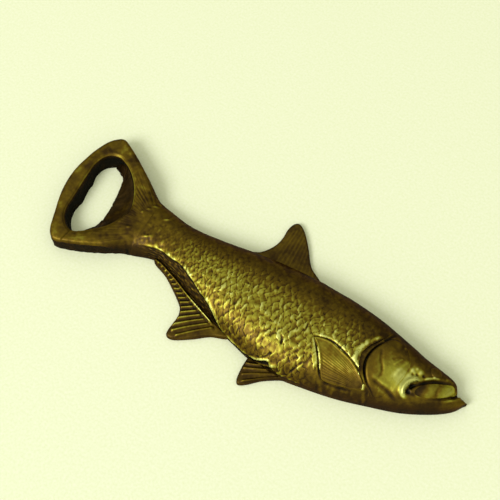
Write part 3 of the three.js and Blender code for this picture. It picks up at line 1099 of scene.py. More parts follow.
@dataclass
class Trunk:
    """The scaled flank from the tail joint to the shoulder.

    Attributes:
        form: the fish's form.
        rows: places along it.
        columns: places around it.
        coat: its scales.
        step: how far the scaled skin stands above the bare belly, mm.
        crumble: height of the broken edge of that step, mm.
        bare_rough: unevenness of the bare belly, mm.
        pocket: depth of the room under the pectoral fin, mm.
        pocket_margin: how far inside the fin's edge that room begins, mm.
        metal: patina of the middle tone.
        side_dark: how much darker the steep sides are, partly patina kept there and partly painted shade.
        border_dark: patina kept round the scales.
        dip_gain: how much darker a broad hollow is, for each mm.
        crease_gain: the same for a fine hollow.
    """

    form: FishForm
    rows: int = 400
    columns: int = 200
    coat: ScaleCoat = field(default_factory=ScaleCoat)
    step: float = 0.35
    crumble: float = 0.28
    bare_rough: float = 0.14
    pocket: float = 0.9
    pocket_margin: float = 0.5
    metal: float = 0.42
    side_dark: float = 0.12
    border_dark: float = 0.22
    dip_gain: float = 0.35
    crease_gain: float = 2.9

    LUMPS = ((0.11, 1.7, 0, 0), (0.05, 0.9, 17, 0))
    # where each zone starts and ends: shares along or across, but mm for the step
    STEP_EDGE = (-0.5, 0.25)
    STEP_START = (0.0, 0.08)
    BACK = (0.5, 0.84)
    BACK_EVEN = (0.5, 0.8)
    TAIL = (0.02, 0.2)
    HEAD_END = (0.66, 0.72)
    BREAST = ((0.56, 0.63), (0.1, 0.17))
    BEHIND_PELVIC = (0.5, 0.56)
    FOREPART = (0.6, 0.75)
    # shares along over which the painted shade on the back sets in
    BACK_SHADE = (0.0, 0.12)
    TAIL_SEAM = (0.0, 0.015)
    DORSAL_RIM = (0, 0.03)
    BELLY_RIM = (0.975, 1.0)
    # middle and width: shares, but mm for the lit edge
    CALM = ((0.4, 0.09), (0.14, 0.12))
    CHASED = (0.3, 0.12)
    CHASED_BELOW = (0.35, 0.6)
    LIT = (0.5, 0.9)
    # how much of the scales is lost on the back, the tail, the head end and the breast
    LOSSES = (0.92, 0.85, 0.35, 0.85)
    # a broad band of painted sheen, a painted highlight along the flank: its height on the flank, its widths
    # above and below, where it sets in
    SHEEN_ACROSS = 0.4
    SHEEN_WIDTHS = (0.24, 0.38)
    SHEEN_START = (0.04, 0.33)
    SHEEN_END = ((0.48, 0.62), (0.08, 0.3))

    # lower border of the scales: (share along, share across)
    SCALE_EDGE = (
        (-0.03, 0.115), (0.03, 0.12), (0.077, 0.135), (0.116, 0.155), (0.15, 0.185), (0.18, 0.175),
        (0.211, 0.145), (0.243, 0.11), (0.275, 0.09), (0.3, 0.06), (0.325, 0.028), (0.35, 0.01),
        (0.4, 0.006), (0.44, 0.008), (0.466, 0.016), (0.482, 0.03), (0.498, 0.045), (0.51, 0.03),
        (0.525, 0.015), (0.55, 0.01), (0.62, 0.006), (0.7, 0.005), (0.8, 0.005))
    RIDGES = (
        # raised rim in front of the gill recess, and its foot
        Stroke(((0.735, 0.76), (0.716, 0.68), (0.7, 0.59), (0.6935, 0.51), (0.691, 0.43), (0.6935, 0.375),
                (0.702, 0.335), (0.716, 0.3), (0.733, 0.24), (0.747, 0.18)), 1.05, 0.48, (0.15, 0.1)),
        Stroke(((0.745, 0.17), (0.748, 0.13), (0.752, 0.09)), 0.6, 0.2),
        # groove round the pectoral fin and the bead behind it
        Stroke(((0.572, 0.41), (0.594, 0.423), (0.62, 0.437), (0.65, 0.41), (0.672, 0.376), (0.691, 0.34),
                (0.708, 0.3), (0.724, 0.255), (0.738, 0.205), (0.75, 0.15)), 0.36, -0.5, (0.05, 0.08)),
        Stroke(((0.574, 0.415), (0.588, 0.35), (0.61, 0.245), (0.6285, 0.14), (0.643, 0.075), (0.653, 0.05)),
               0.3, -0.42, (0.05, 0.3)),
        Stroke(((0.645, 0.06), (0.69, 0.055), (0.735, 0.065)), 0.8, -0.2),
        # folds by the root of the pelvic fin
        Stroke(((0.452, 0.012), (0.475, 0.022), (0.506, 0.062)), 0.45, 0.4, (0.25, 0.15)),
        Stroke(((0.464, 0.004), (0.49, 0.012), (0.518, 0.034)), 0.6, 0.4, (0.2, 0.2)),
        Stroke(((0.515, 0.03), (0.524, 0.045), (0.536, 0.05)), 0.9, 0.42, (0.1, 0.4)),
        Stroke(((0.46, 0.03), (0.478, 0.042), (0.492, 0.075), (0.5, 0.12)), 0.35, -0.3),
        Stroke(((0.563, 0.035), (0.572, 0.085), (0.584, 0.16)), 0.35, -0.2),
        Stroke(((0.497, 0.285), (0.506, 0.25), (0.511, 0.2)), 0.35, -0.35),
        Stroke(((0.543, 0.5), (0.546, 0.44), (0.545, 0.4)), 0.3, -0.3),
    )
    # painted highlights where the light catches the rim before the gill recess and the folds by the pelvic
    # fin: heights here are patina, not millimetres
    PAINTED_HIGHLIGHTS_AND_DARKS = (
        Stroke(((0.716, 0.66), (0.702, 0.59), (0.6945, 0.51), (0.692, 0.43), (0.6945, 0.375), (0.704, 0.33),
                (0.72, 0.285)), 1.1, 0.3, (0.2, 0.3)),
        Stroke(((0.455, 0.01), (0.48, 0.022), (0.506, 0.05)), 0.8, 0.12),
    )

    def cast(self) -> bpy.types.Object:
        """Casts the trunk.

        Returns:
            The piece.
        """
        skin, q = self.form.between(TAIL_JOINT, SHOULDER, self.rows, self.columns)
        zones = self.zones(skin)
        scales, border = self.scales(skin, q)
        relief = self.relief(skin, q, zones, scales)
        base = self.tone(skin, zones, border)
        patina = tone_of(relief, 2, self.crease_gain, tone_of(relief, 8, self.dip_gain, base))
        return cast_piece("trunk", skin.raised(relief), patina, Coat.RUBBED, Closing.FLAT_BACK)

    def zones(self, skin: Skin) -> Zones:
        """Works out the zones of the flank.

        Args:
            skin: the places.

        Returns:
            The zones.
        """
        edge = self.form.lift(curve(self.SCALE_EDGE, 150).clip([0, 0], [1, 1]))
        distance, _, side = nearest(skin.points.reshape(-1, 3), edge)
        above = (distance * side).reshape(skin.s.shape)
        flank = smooth(above, *self.STEP_EDGE)
        back = smooth(skin.v, *self.BACK)
        calm = hump(skin.s, *self.CALM[0]) * hump(skin.v, *self.CALM[1])
        tail = 1 - smooth(skin.s, *self.TAIL)
        head_end = smooth(skin.s, *self.HEAD_END)
        breast = smooth(skin.s, *self.BREAST[0]) * (1 - smooth(skin.v, *self.BREAST[1]))
        cover = flank
        for zone, loss in zip((back, tail, head_end, breast), self.LOSSES):
            cover = cover * (1 - loss * zone)
        rear = 1 - smooth(skin.s, *self.BEHIND_PELVIC)
        broken = 0.5 + GRAIN.relief(skin.points[..., 0], skin.points[..., 1], ((0.9, 2.2, 0, 0),))
        step = smooth(skin.s, *self.STEP_START) * rear
        lit = hump(above, *self.LIT) * step * broken
        return Zones(flank, back, calm, cover, rear, broken, step, lit)

    def scales(self, skin: Skin, q: Array) -> tuple[Array, Array]:
        """Lays the scales over the unrolled flank, smaller where the body is thinner.

        Args:
            skin: the places.
            q: their shares of the girth.

        Returns:
            The scales' height in mm, and how near each place lies to the border of its scale.
        """
        form = self.form
        size = np.interp(skin.s, form.stations, form.girth) / form.full_girth
        along = np.interp(skin.s, form.stations, form.unrolled)
        chased = 1 + 0.9 * hump(skin.s, *self.CHASED) * (1 - smooth(skin.v, *self.CHASED_BELOW))
        height, border = self.coat.relief(along, q * form.full_girth, chased)
        return height * size, border

    def relief(self, skin: Skin, q: Array, zones: Zones, scales: Array) -> Array:
        """The whole relief of the flank.

        Args:
            skin: the places.
            q: their shares of the girth.
            zones: the zones of the flank.
            scales: height of the scales, mm.

        Returns:
            The relief by row and column, mm.
        """
        form = self.form
        x, y = skin.points[..., 0], skin.points[..., 1]
        lumps = GRAIN.relief(x, y, self.LUMPS) * (1 - 0.55 * zones.calm)
        even = 0.3 + 0.7 * zones.flank * (1 - 0.85 * smooth(skin.v, *self.BACK_EVEN))
        bare = GRAIN.at(skin.s * form.length, q * 90, 1.3)
        relief = scales * zones.cover + lumps * even
        relief = relief + self.step * zones.flank * zones.step + self.crumble * zones.lit
        relief = relief + self.bare_rough * (1 - zones.flank) * zones.step * bare
        for mark in self.RIDGES:
            relief = relief + mark.relief(form, skin) * (1 + 0.4 * GRAIN.at(x + 5, y, 1.8))
        relief = relief + sunk_under(form, skin, PECTORAL, self.pocket, self.pocket_margin)
        # half of it runs on over the tail joint, where the loop's face takes over
        relief = relief * blend(0.5, 1, smooth(skin.s, *self.TAIL_SEAM))
        relief = relief + casting_lumps(x - form.start, y - form.axis)
        return relief * smooth(q, *self.DORSAL_RIM) * (1 - smooth(q, *self.BELLY_RIM))

    def tone(self, skin: Skin, zones: Zones, border: Array) -> Array:
        """Tone of the flank, with painted sheen, painted highlights and painted shade, before the relief
        darkens its hollows.

        Args:
            skin: the places.
            zones: the zones of the flank.
            border: how near each place lies to the border of its scale.

        Returns:
            The tone by row and column.
        """
        form = self.form
        # crest is a broad band of painted sheen, a painted highlight along the upper flank
        width = np.where(skin.v > self.SHEEN_ACROSS, *self.SHEEN_WIDTHS)
        crest = hump(skin.v, self.SHEEN_ACROSS, width) * smooth(skin.s, *self.SHEEN_START)
        low_front = smooth(skin.s, *self.SHEEN_END[0]) * (1 - smooth(skin.v, *self.SHEEN_END[1]))
        crest = crest * (1 - low_front)
        # a painted highlight on the broken edge of the step above the bare belly
        base = self.metal + 0.22 * crest * zones.flank + 0.18 * zones.lit
        base = base - 0.12 * (1 - zones.flank) * zones.rear - 0.09 * zones.calm
        # painted shade on the back, which faces away from the light
        base = base - 0.07 * zones.back * smooth(skin.s, *self.BACK_SHADE)
        # darker towards the head, and darker on the steep sides: partly patina, partly painted shade
        base = base - 0.06 * smooth(skin.s, *self.FOREPART) - self.side_dark * unrubbed_and_shaded(skin.up)
        base = base + (0.04 - self.border_dark * border) * zones.cover
        # darker along the lower edge at the root of the tail
        base = base + root_darkening(skin.points[..., 0] - form.start, skin.points[..., 1] - form.axis)
        # painted highlights on the rim before the gill recess and on the folds by the pelvic fin
        for mark in self.PAINTED_HIGHLIGHTS_AND_DARKS:
            base = base + mark.relief(form, skin) * (0.5 + zones.broken)
        return base


# --------------------------------------------------------------------------- head


@dataclass
class Head:
    """The head with its gill cover, jaws and eye.

    Attributes:
        form: the fish's form.
        recess: depth of the hollow behind the gill cover, mm.
        cover_rise: how far the gill cover's rear edge stands up, mm.
        cover_front: how far its front edge does, mm.
        jaw_rise: how far the upper jaw plate stands up, mm.
        eye_place: shares along and across of the eye.
        side_dark: how much darker the steep sides are, partly patina kept there and partly painted shade.
        eye_dome: half the thickness of the eye, mm.
        eye_sink: how far the eye's middle lies under the skin, mm.
        skirt: how deep the plates are let into the head, mm.
        eye_tone: patina of the eye.
        metal: patina of the middle tone.
        painted_cheek_highlight: how much brighter the cheek is painted, as a highlight.
        painted_top_shade: painted shade on the top of the head, which faces away from the light.
        under_dark: how much darker the head is towards its underside.
    """

    form: FishForm
    recess: float = 0.9
    cover_rise: float = 0.72
    cover_front: float = 0.12
    jaw_rise: float = 0.62
    eye_place: Point = (0.893, 0.78)
    side_dark: float = 0.13
    eye_dome: float = 1.0
    eye_sink: float = 0.35
    skirt: float = 1.1
    eye_tone: float = 0.36
    metal: float = 0.4
    painted_cheek_highlight: float = 0.5
    painted_top_shade: float = 0.1
    under_dark: float = 0.05

    CHEEK = ((0.825, 0.06), (0.4, 0.22))  # middle and width, along and across
    TOP = (0.6, 0.8)
    UNDER = (0.1, 0.3)
    HOLLOW = ((3.0, 5.2), (0.17, 0.34), (0.6, 0.82))  # mm from the shoulder; shares below and above
    COVER_POCKET = (0.5, 0.5)  # depth and margin of the room under a plate, mm
    JAW_POCKET = (0.7, 0.4)
    COVER_FRONT = (0.73, 0.818)
    JAW_REAR = (0.864, 0.9)
    JAW_REAR_DARK = (0.872, 0.9)
    JAW_FRONT = (0.92, 0.94)
    JAW_LUMPS = ((0.1, 2.1, 0, 0), (0.05, 1.0, 5, 0))
    JAW_FOLDS = (
        Stroke(((0.918, 0.6), (0.916, 0.44), (0.92, 0.26)), 0.6, -0.22, (0.1, 0.1)),
        Stroke(((0.945, 0.66), (0.943, 0.52), (0.935, 0.4)), 0.4, -0.15))
    TIP = (0.975, 1.0)
    LIP = (0.93, 0.97)
    # painted highlights where positive, on the fold round the mouth, the snout and the lower lip, and darker
    # marks by the upper jaw where negative: heights here are patina, not millimetres
    PAINTED_HIGHLIGHTS_AND_DARKS = (
        Stroke(((0.868, 0.5), (0.856, 0.487), (0.845, 0.44), (0.838, 0.37), (0.8355, 0.3), (0.839, 0.229),
                (0.848, 0.17), (0.86, 0.14)), 1.3, 0.45, (0.2, 0.3)),
        Stroke(((0.856, 0.18), (0.854, 0.26), (0.858, 0.35), (0.866, 0.41)), 1.0, -0.3),
        Stroke(((0.866, 0.18), (0.868, 0.27), (0.872, 0.37), (0.886, 0.46), (0.9, 0.53)),
               1.1, -0.42, (0.15, 0.4)),
        Stroke(((0.832, 0.6), (0.845, 0.61), (0.86, 0.62)), 1.6, 0.16),
        Stroke(((0.935, 0.23), (0.95, 0.29), (0.96, 0.4)), 0.8, 0.22),
    )

    def cast(self) -> list[bpy.types.Object]:
        """Casts every piece of the head."""
        return [self.skull(), self.gill_cover(), self.upper_jaw(), self.lower_jaw(), self.eye()]

    def tone(self, skin: Skin, relief: Array, base: Array) -> Array:
        """Tone that the head's pieces share: a painted highlight on the cheek, painted shade on top, and
        darker below.

        Args:
            skin: the places.
            relief: their relief, mm.
            base: patina of the piece's middle tone.

        Returns:
            The tone by row and column.
        """
        cheek = hump(skin.s, *self.CHEEK[0]) * hump(skin.v, *self.CHEEK[1])
        # a painted highlight on the cheek, and painted shade on the top of the head
        base = base + self.painted_cheek_highlight * cheek - self.painted_top_shade * smooth(skin.v, *self.TOP)
        base = base - self.under_dark * (1 - smooth(skin.v, *self.UNDER))
        # darker on the steep sides: partly patina, partly painted shade
        base = base - self.side_dark * unrubbed_and_shaded(skin.up)
        # painted highlights on raised edges of the head, and darker marks by the upper jaw
        for mark in self.PAINTED_HIGHLIGHTS_AND_DARKS:
            base = base + mark.relief(self.form, skin)
        return tone_of(relief, 3, 1.1, tone_of(relief, 9, 0.5, base))

    def skull(self) -> bpy.types.Object:
        """Casts the head itself, with the hollow behind the gill cover.

        Returns:
            The piece.
        """
        form = self.form
        skin, q = form.between(SHOULDER, JAW_LINE, 170, 200)
        relief = head_relief(form, skin)
        shoulder = form.lift(curve(SHOULDER, 100).clip([0, 0], [1, 1]))
        distance = nearest(skin.points.reshape(-1, 3), shoulder)[0].reshape(q.shape)
        behind, below, above = self.HOLLOW
        open_part = smooth(skin.v, *below) * (1 - smooth(skin.v, *above))
        floor = (1 - smooth(distance, *behind)) * open_part
        relief = relief - self.recess * floor
        relief = relief + sunk_under(form, skin, GILL_COVER, *self.COVER_POCKET)
        relief = relief + sunk_under(form, skin, UPPER_JAW, *self.JAW_POCKET)
        patina = self.tone(skin, relief, self.metal - 0.18 * floor)
        return cast_piece("head", skin.raised(relief), patina, Coat.RUBBED, Closing.FLAT_BACK)

    def gill_cover(self) -> bpy.types.Object:
        """Casts the gill cover: proud at its rear edge and flush with the cheek in front.

        Returns:
            The piece.
        """
        skin, distance = plate_skin(self.form, GILL_COVER, 80, 300)
        rear = 1 - smooth(skin.s, *self.COVER_FRONT)
        rise = blend(self.cover_front, self.cover_rise, rear)
        relief = head_relief(self.form, skin) + rise - 0.4 * hump(distance, 0, 0.6) * rear
        # painted shade along the gill cover's rear edge, where it rolls down into the slit
        patina = self.tone(skin, relief, self.metal + 0.01 - 0.16 * rear * hump(distance, 0, 1.7))
        return cast_piece("gill_cover", skin.raised(relief), patina, Coat.RUBBED, Closing.SKIRT, self.skirt)

    def upper_jaw(self) -> bpy.types.Object:
        """Casts the upper jaw plate with its rolled edge.

        Returns:
            The piece.
        """
        skin, distance = plate_skin(self.form, UPPER_JAW, 56, 260)
        rear = 1 - smooth(skin.s, *self.JAW_REAR)
        relief = self.jaw_rise * smooth(distance, -0.4, 1.4) * (1 - rear) + 0.12 * rear
        relief = relief + GRAIN.relief(skin.points[..., 0], skin.points[..., 1], self.JAW_LUMPS)
        for mark in self.JAW_FOLDS:
            relief = relief + mark.relief(self.form, skin)
        base = 0.6 - 0.46 * (1 - smooth(skin.s, *self.JAW_REAR_DARK)) - 0.12 * hump(skin.s, 0.917, 0.008)
        base = base + 0.18 * smooth(skin.s, *self.JAW_FRONT)
        patina = tone_of(relief, 3, 0.9, base)
        return cast_piece("upper_jaw", skin.raised(relief), patina, Coat.RUBBED, Closing.SKIRT, self.skirt)

    def lower_jaw(self) -> bpy.types.Object:
        """Casts the lower jaw with its bright lip.

        Returns:
            The piece.
        """
        skin, _ = self.form.between(JAW_LINE, SNOUT_TIP, 120, 200)
        tip = smooth(skin.s, *self.TIP)
        relief = head_relief(self.form, skin) * (1 - tip) - 0.5 * tip ** 2
        patina = self.tone(skin, relief, self.metal - 0.05 + 0.08 * smooth(skin.s, *self.LIP))
        return cast_piece("lower_jaw", skin.raised(relief), patina, Coat.RUBBED, Closing.FLAT_BACK)

    def eye(self) -> bpy.types.Object:
        """Casts the eye: a low dome let into the head.

        Returns:
            The piece.
        """
        low, high = (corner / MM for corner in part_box("eye"))
        radius = (high.x - low.x) / 2
        seat = self.form.skin(np.array(self.eye_place[0]), np.array(2 * self.eye_place[1] - 1))
        facing = Vector(seat.normals)
        bpy.ops.object.select_all(action="DESELECT")
        bpy.ops.mesh.primitive_uv_sphere_add(segments=48, ring_count=24, radius=radius * MM)
        piece = bpy.context.active_object
        piece.name = piece.data.name = "eye_cast"
        bpy.ops.transform.resize(value=(1, 1, self.eye_dome / radius), center_override=(0, 0, 0))
        piece.rotation_mode = "QUATERNION"
        piece.rotation_quaternion = facing.to_track_quat("Z", "Y")
        piece.location = (Vector(seat.points) - facing * self.eye_sink) * MM
        bpy.ops.object.transform_apply(location=True, rotation=True, scale=True)
        tone = piece.data.attributes.new("patina", "FLOAT", "POINT")
        tone.data.foreach_set("value", np.full(len(piece.data.vertices), self.eye_tone, np.float32))
        bpy.ops.object.shade_smooth()
        dress(piece, "eye", Coat.RUBBED)
        return piece


# --------------------------------------------------------------------------- tail and opener loop


@dataclass
class TailLoop:
    """The tail fin with the opener loop in it, and the lip that hooks under a cap.

    Attributes:
        form: the fish's form.
        slot_span: length of the slot, mm: a cap's width and its clearance.
        slot_width: width of the slot, mm.
        lip_reach: how far the lip stands out from the wall, mm.
        lip_edge: thickness of the lip's edge, mm.
        lip_root: height of the lip at the wall, mm.
        end_flare: how much longer the rim is than the slot at each end, mm.
        draft: lean of the inner wall over its height, mm.
        root: tail joint to the rim, mm.
        round_edge: rounding of the outer upper edge, mm.
        columns: places round the opening.
        face_rows: places across the upper face.
        streaks: depth of the fin rays, mm.
        metal: patina of the upper face.
    """

    form: FishForm
    slot_span: float = 29.4
    slot_width: float = 13.0
    lip_reach: float = 8.6
    lip_edge: float = 2.2
    lip_root: float = 6.2
    end_flare: float = 2.8
    draft: float = 1.6
    root: float = 8.4
    round_edge: float = 2.4
    columns: int = 520
    face_rows: int = 72
    streaks: float = 0.1
    metal: float = 0.4

    # (share of the length from the joint, share of the span)
    OUTLINE = (
        (0.095, 0.224), (0.27, 0.3), (0.5, 0.405), (0.68, 0.476), (0.76, 0.496), (0.83, 0.47), (0.9, 0.4),
        (0.965, 0.25), (0.998, 0.06), (0.965, -0.13), (0.885, -0.3), (0.815, -0.43), (0.755, -0.485),
        (0.68, -0.5), (0.48, -0.445), (0.27, -0.365), (0.095, -0.287))
    # shares of the rim's own length and span, from its middle
    RIM = (
        (-0.24, 0.5), (-0.06, 0.47), (0.14, 0.39), (0.34, 0.25), (0.49, 0.06), (0.465, -0.07),
        (0.36, -0.235), (0.15, -0.39), (-0.07, -0.5), (-0.27, -0.46), (-0.4, -0.33), (-0.44, -0.13),
        (-0.48, 0.13), (-0.49, 0.3), (-0.41, 0.44))
    # shares of the slot's width and span, from its middle
    SLOT_EDGE = (
        (-0.2, 0.5), (0.17, 0.43), (0.32, 0.29), (0.41, 0.1), (0.49, -0.12), (0.48, -0.3), (0.31, -0.43),
        (0.08, -0.5))
    SLOT_LEAN = 0.6  # how far the slot lies off the axis, mm
    LINE_STEPS = 400
    # where each bar starts and ends, degrees round the opening
    END_BAR = ((82, 112), (261, 263.5))
    LOWER_BAR = ((258, 266), (318, 345))
    UPPER_BAR = (60, 80)
    # rounding of the outer edge on the end bar and on the lower bar, mm inwards and down
    ROUND_REACH = (1.9, 1.7)
    ROUND_DROP = (1.8, 1.6)
    HOLLOW = (9, 22)  # mm from the joint
    FAN_ROOT = (7.0, -0.5)  # where the rays would meet, mm
    FAN_START = (9.5, 15)  # mm from there
    FACE_ROUGH = ((0.06, 1.3, 0, 0), (0.1, 3.0, 0, 20))
    FACE_BLOTCHES = ((0.12, 5.0, 0, 0), (0.08, 1.8, 13, 0))
    LIP_ROUGH = ((0.14, 2.2, 0, 0), (0.07, 1.0, 0, 11))

    def __post_init__(self) -> None:
        """Works out the loop's own lengths from the CAD node and the driving sizes."""
        low, high = (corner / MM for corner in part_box("tail_loop"))
        self.length = self.form.start - low.x
        self.span = high.y - low.y
        self.height = high.z
        self.rim_length = self.slot_width + self.lip_reach + self.draft
        self.rim_span = self.slot_span + 2 * self.end_flare
        self.centre = -self.root - self.rim_length / 2
        share = np.array(self.OUTLINE)
        scale = self.span / (share[:, 1].max() - share[:, 1].min())
        self.lean = high.y - self.form.axis - share[:, 1].max() * scale
        sides = np.stack([-share[:, 0] * self.length, share[:, 1] * scale + self.lean], 1)
        self.joint = np.array([(0.0, float(self.form.dorsal(0.0))), (0.0, float(self.form.belly(0.0)))])
        self.outline = curve(np.vstack([self.joint[:1], sides, self.joint[1:]]), self.LINE_STEPS)
        rim = np.array(self.RIM) * (self.rim_length, self.rim_span) + (self.centre, 0)
        self.rim = curve(rim, self.LINE_STEPS, closed=True)

    def polar(self, line: Array, angle: Array) -> Array:
        """Distance from the rim's middle to a line that goes once round it.

        Args:
            line: the line's (x, y) places, mm.
            angle: where to measure, in radians.

        Returns:
            The distance at each angle, mm.
        """
        turn = np.unwrap(np.arctan2(line[:, 1], line[:, 0] - self.centre))
        out = np.hypot(line[:, 1], line[:, 0] - self.centre)
        order = np.argsort(turn)
        return np.interp((angle - turn[order[0]]) % (2 * np.pi) + turn[order[0]], turn[order], out[order])

    def place(self, angle: Array, out: Array) -> tuple[Array, Array]:
        """Millimetres along and across of places by angle and distance from the rim's middle."""
        return self.centre + out * np.cos(angle), out * np.sin(angle)

    def edges(self, x: Array, y: Array) -> tuple[Array, Array]:
        """Distances of places along and across to the outline and to the rim, mm."""
        places = np.stack([x, y], -1).reshape(-1, 2)
        outer, inner = (nearest(places, line)[0].reshape(x.shape) for line in (self.outline, self.rim))
        return outer, inner

    def top(self, x: Array, y: Array) -> tuple[Array, Array]:
        """Shapes the upper face.

        Args:
            x: mm along, from the tail joint.
            y: mm across, from the fish's axis.

        Returns:
            The height of the smooth face and the relief on it, mm.
        """
        outer, inner = self.edges(x, y)
        away = smooth(-x, 0.0, self.root * 1.15)
        turn = np.degrees(np.arctan2(y, x - self.centre)) % 360
        end_bar = smooth(turn, *self.END_BAR[0]) * (1 - smooth(turn, *self.END_BAR[1]))
        lower_bar = smooth(turn, *self.LOWER_BAR[0]) * (1 - smooth(turn, *self.LOWER_BAR[1]))
        reach, drop = (blend(blend(self.round_edge, on_end, end_bar), on_lower, lower_bar)
                       for on_end, on_lower in (self.ROUND_REACH, self.ROUND_DROP))
        reach = blend((self.joint[0, 1] - self.joint[1, 1]) / 2, reach, away)
        drop = blend(self.height, drop, away)
        n = self.form.fullness
        in_from_edge = np.clip(outer / reach, 0, 1)
        curl = 1 - (1 - (1 - in_from_edge) ** n).clip(0) ** (1 / n)
        roll = 0.5 * hump(inner, 0, blend(0.45, 1.1, lower_bar)) + 0.3 * lower_bar * hump(inner, 0, 2.6)
        base = self.height - drop * curl - roll - 0.75 * end_bar * away
        base = base - 0.3 * (1 - end_bar) * (1 - lower_bar) * smooth(-x, *self.HOLLOW) * away
        # rays fan out from the root of the fin
        ray = np.degrees(np.arctan2(y - self.FAN_ROOT[1], self.FAN_ROOT[0] - x))
        run = np.hypot(x - self.FAN_ROOT[0], y - self.FAN_ROOT[1])
        fan = GRAIN.at(ray, run * 0.22, 1.9) + 0.6 * GRAIN.at(ray + 50, run * 0.2, 1.0)
        shown = smooth(run, *self.FAN_START) * (1 - 0.75 * end_bar)
        shown = shown * (1 - 0.55 * smooth(turn, *self.UPPER_BAR))
        relief = self.streaks * fan * shown * smooth(outer, 0.5, 2.0) * smooth(inner, 0.2, 0.8)
        relief = relief + GRAIN.relief(x, y, self.FACE_ROUGH) + casting_lumps(x, y)
        return base, relief + 0.1 * (1 - away) * GRAIN.at(x + 3, y, 1.5)

    def cast(self) -> list[bpy.types.Object]:
        """Casts the loop and its lip."""
        return [self.loop(), self.lip()]

    def loop(self) -> bpy.types.Object:
        """Casts the tail fin as a ring round the opening.

        Returns:
            The piece.
        """
        angle = np.linspace(0, 2 * np.pi, self.columns)
        seam = blend(self.joint[1], self.joint[0], np.linspace(0, 1, 60)[:, None])
        outer = self.polar(np.vstack([self.outline, seam]), angle)
        inner = self.polar(self.rim, angle)
        share = np.linspace(0, 1, self.face_rows)[:, None]
        x, y = self.place(angle, blend(outer, inner, blend(share, smooth(share, 0, 1), 0.35)))
        base, relief = self.top(x, y)
        face = np.stack([x, y, base + relief], -1)
        rows, tones = self.outer_wall(angle, outer, face[0, :, 2])
        rows.extend(face)
        tones.extend(self.face_tone(x, y, base, relief))
        wall_rows, wall_tones = self.inner_wall(angle, inner, face[-1, :, 2])
        points = np.array([*rows, *wall_rows, rows[0]])
        points[:, -1] = points[:, 0]
        points[..., :2] = self.form.plan(points[..., 0], points[..., 1])
        patina = np.array([*tones, *wall_tones, tones[0]])
        return cast_piece("tail_loop", points, patina, Coat.DARK, Closing.NONE)

    def face_tone(self, x: Array, y: Array, base: Array, relief: Array) -> Array:
        """Tone of the upper face, with painted highlights along its outer edge and round the opening.

        Args:
            x: mm along, from the tail joint.
            y: mm across, from the fish's axis.
            base: height of the smooth face, mm.
            relief: the relief on it, mm.

        Returns:
            The tone by row and column.
        """
        outer, inner = self.edges(x, y)
        up = base / self.height
        off_joint = smooth(-x, 0, 6)
        under = (1 - smooth(up, 0.62, 0.8)) * (y < 0)
        # a painted highlight along the rounded outer edge
        painted_edge_highlight = hump(outer, 1.6, 1.0) * smooth(-x, 6, 14)
        tone = self.metal + 0.02 * (1 - off_joint) + 0.07 * painted_edge_highlight - 0.12 * under
        tone = tone + GRAIN.relief(x, y, self.FACE_BLOTCHES) * off_joint
        # darker low on the rounded edges: partly patina, partly painted shade
        tone = tone - 0.16 * unrubbed_and_shaded(up + 0.1 * smooth(-x, 22, 30))
        # a painted highlight along the edge of the opening; and darker along the lower edge at the joint
        tone = tone + 0.16 * hump(inner, 0, 0.5) * smooth(y, -4, 6) + root_darkening(x, y)
        return tone_of(relief, 2, 2.0, tone)

    def outer_wall(self, angle: Array, outer: Array, top: Array) -> tuple[list[Array], list[Array]]:
        """Runs the outer wall up from the flat back.

        Args:
            angle: places round the opening, in radians.
            outer: distance of the outline there, mm.
            top: height of the face's outer edge there, mm.

        Returns:
            The wall's rows of points and their tones.
        """
        rows, tones = [], []
        for rise in np.linspace(0, 0.94, 14):
            rough = 0.12 * GRAIN.at(angle * 25, np.full_like(angle, rise * 6), 1.6)
            rows.append(np.stack([*self.place(angle, outer + rough), top * rise], -1))
            # the outer wall is dark all over: partly patina, partly painted shade
            tones.append(np.full_like(angle, 0.1))
        return rows, tones

    def inner_wall(self, angle: Array, inner: Array, top: Array) -> tuple[list[Array], list[Array]]:
        """Runs the rough, leaning wall of the opening down to the flat back.

        Args:
            angle: places round the opening, in radians.
            inner: distance of the rim there, mm.
            top: height of the face's inner edge there, mm.

        Returns:
            The wall's rows of points and their tones.
        """
        rows, tones = [], []
        for sunk in np.linspace(0.04, 1, 26):
            level = top * (1 - sunk)
            rough = 0.55 * GRAIN.at(angle * 12, level * 0.4, 3.6) + 0.14 * GRAIN.at(angle * 12, level, 1.3)
            inset = self.draft * (1 - level / self.height) + rough * smooth(sunk, 0.05, 0.5)
            rows.append(np.stack([*self.place(angle, inner - inset), level], -1))
            # the tone falls to black down the wall: partly patina, partly painted shade of the deep opening
            tones.append(np.full_like(angle, 0.3 * (1 - sunk) ** 8))
        return rows, tones

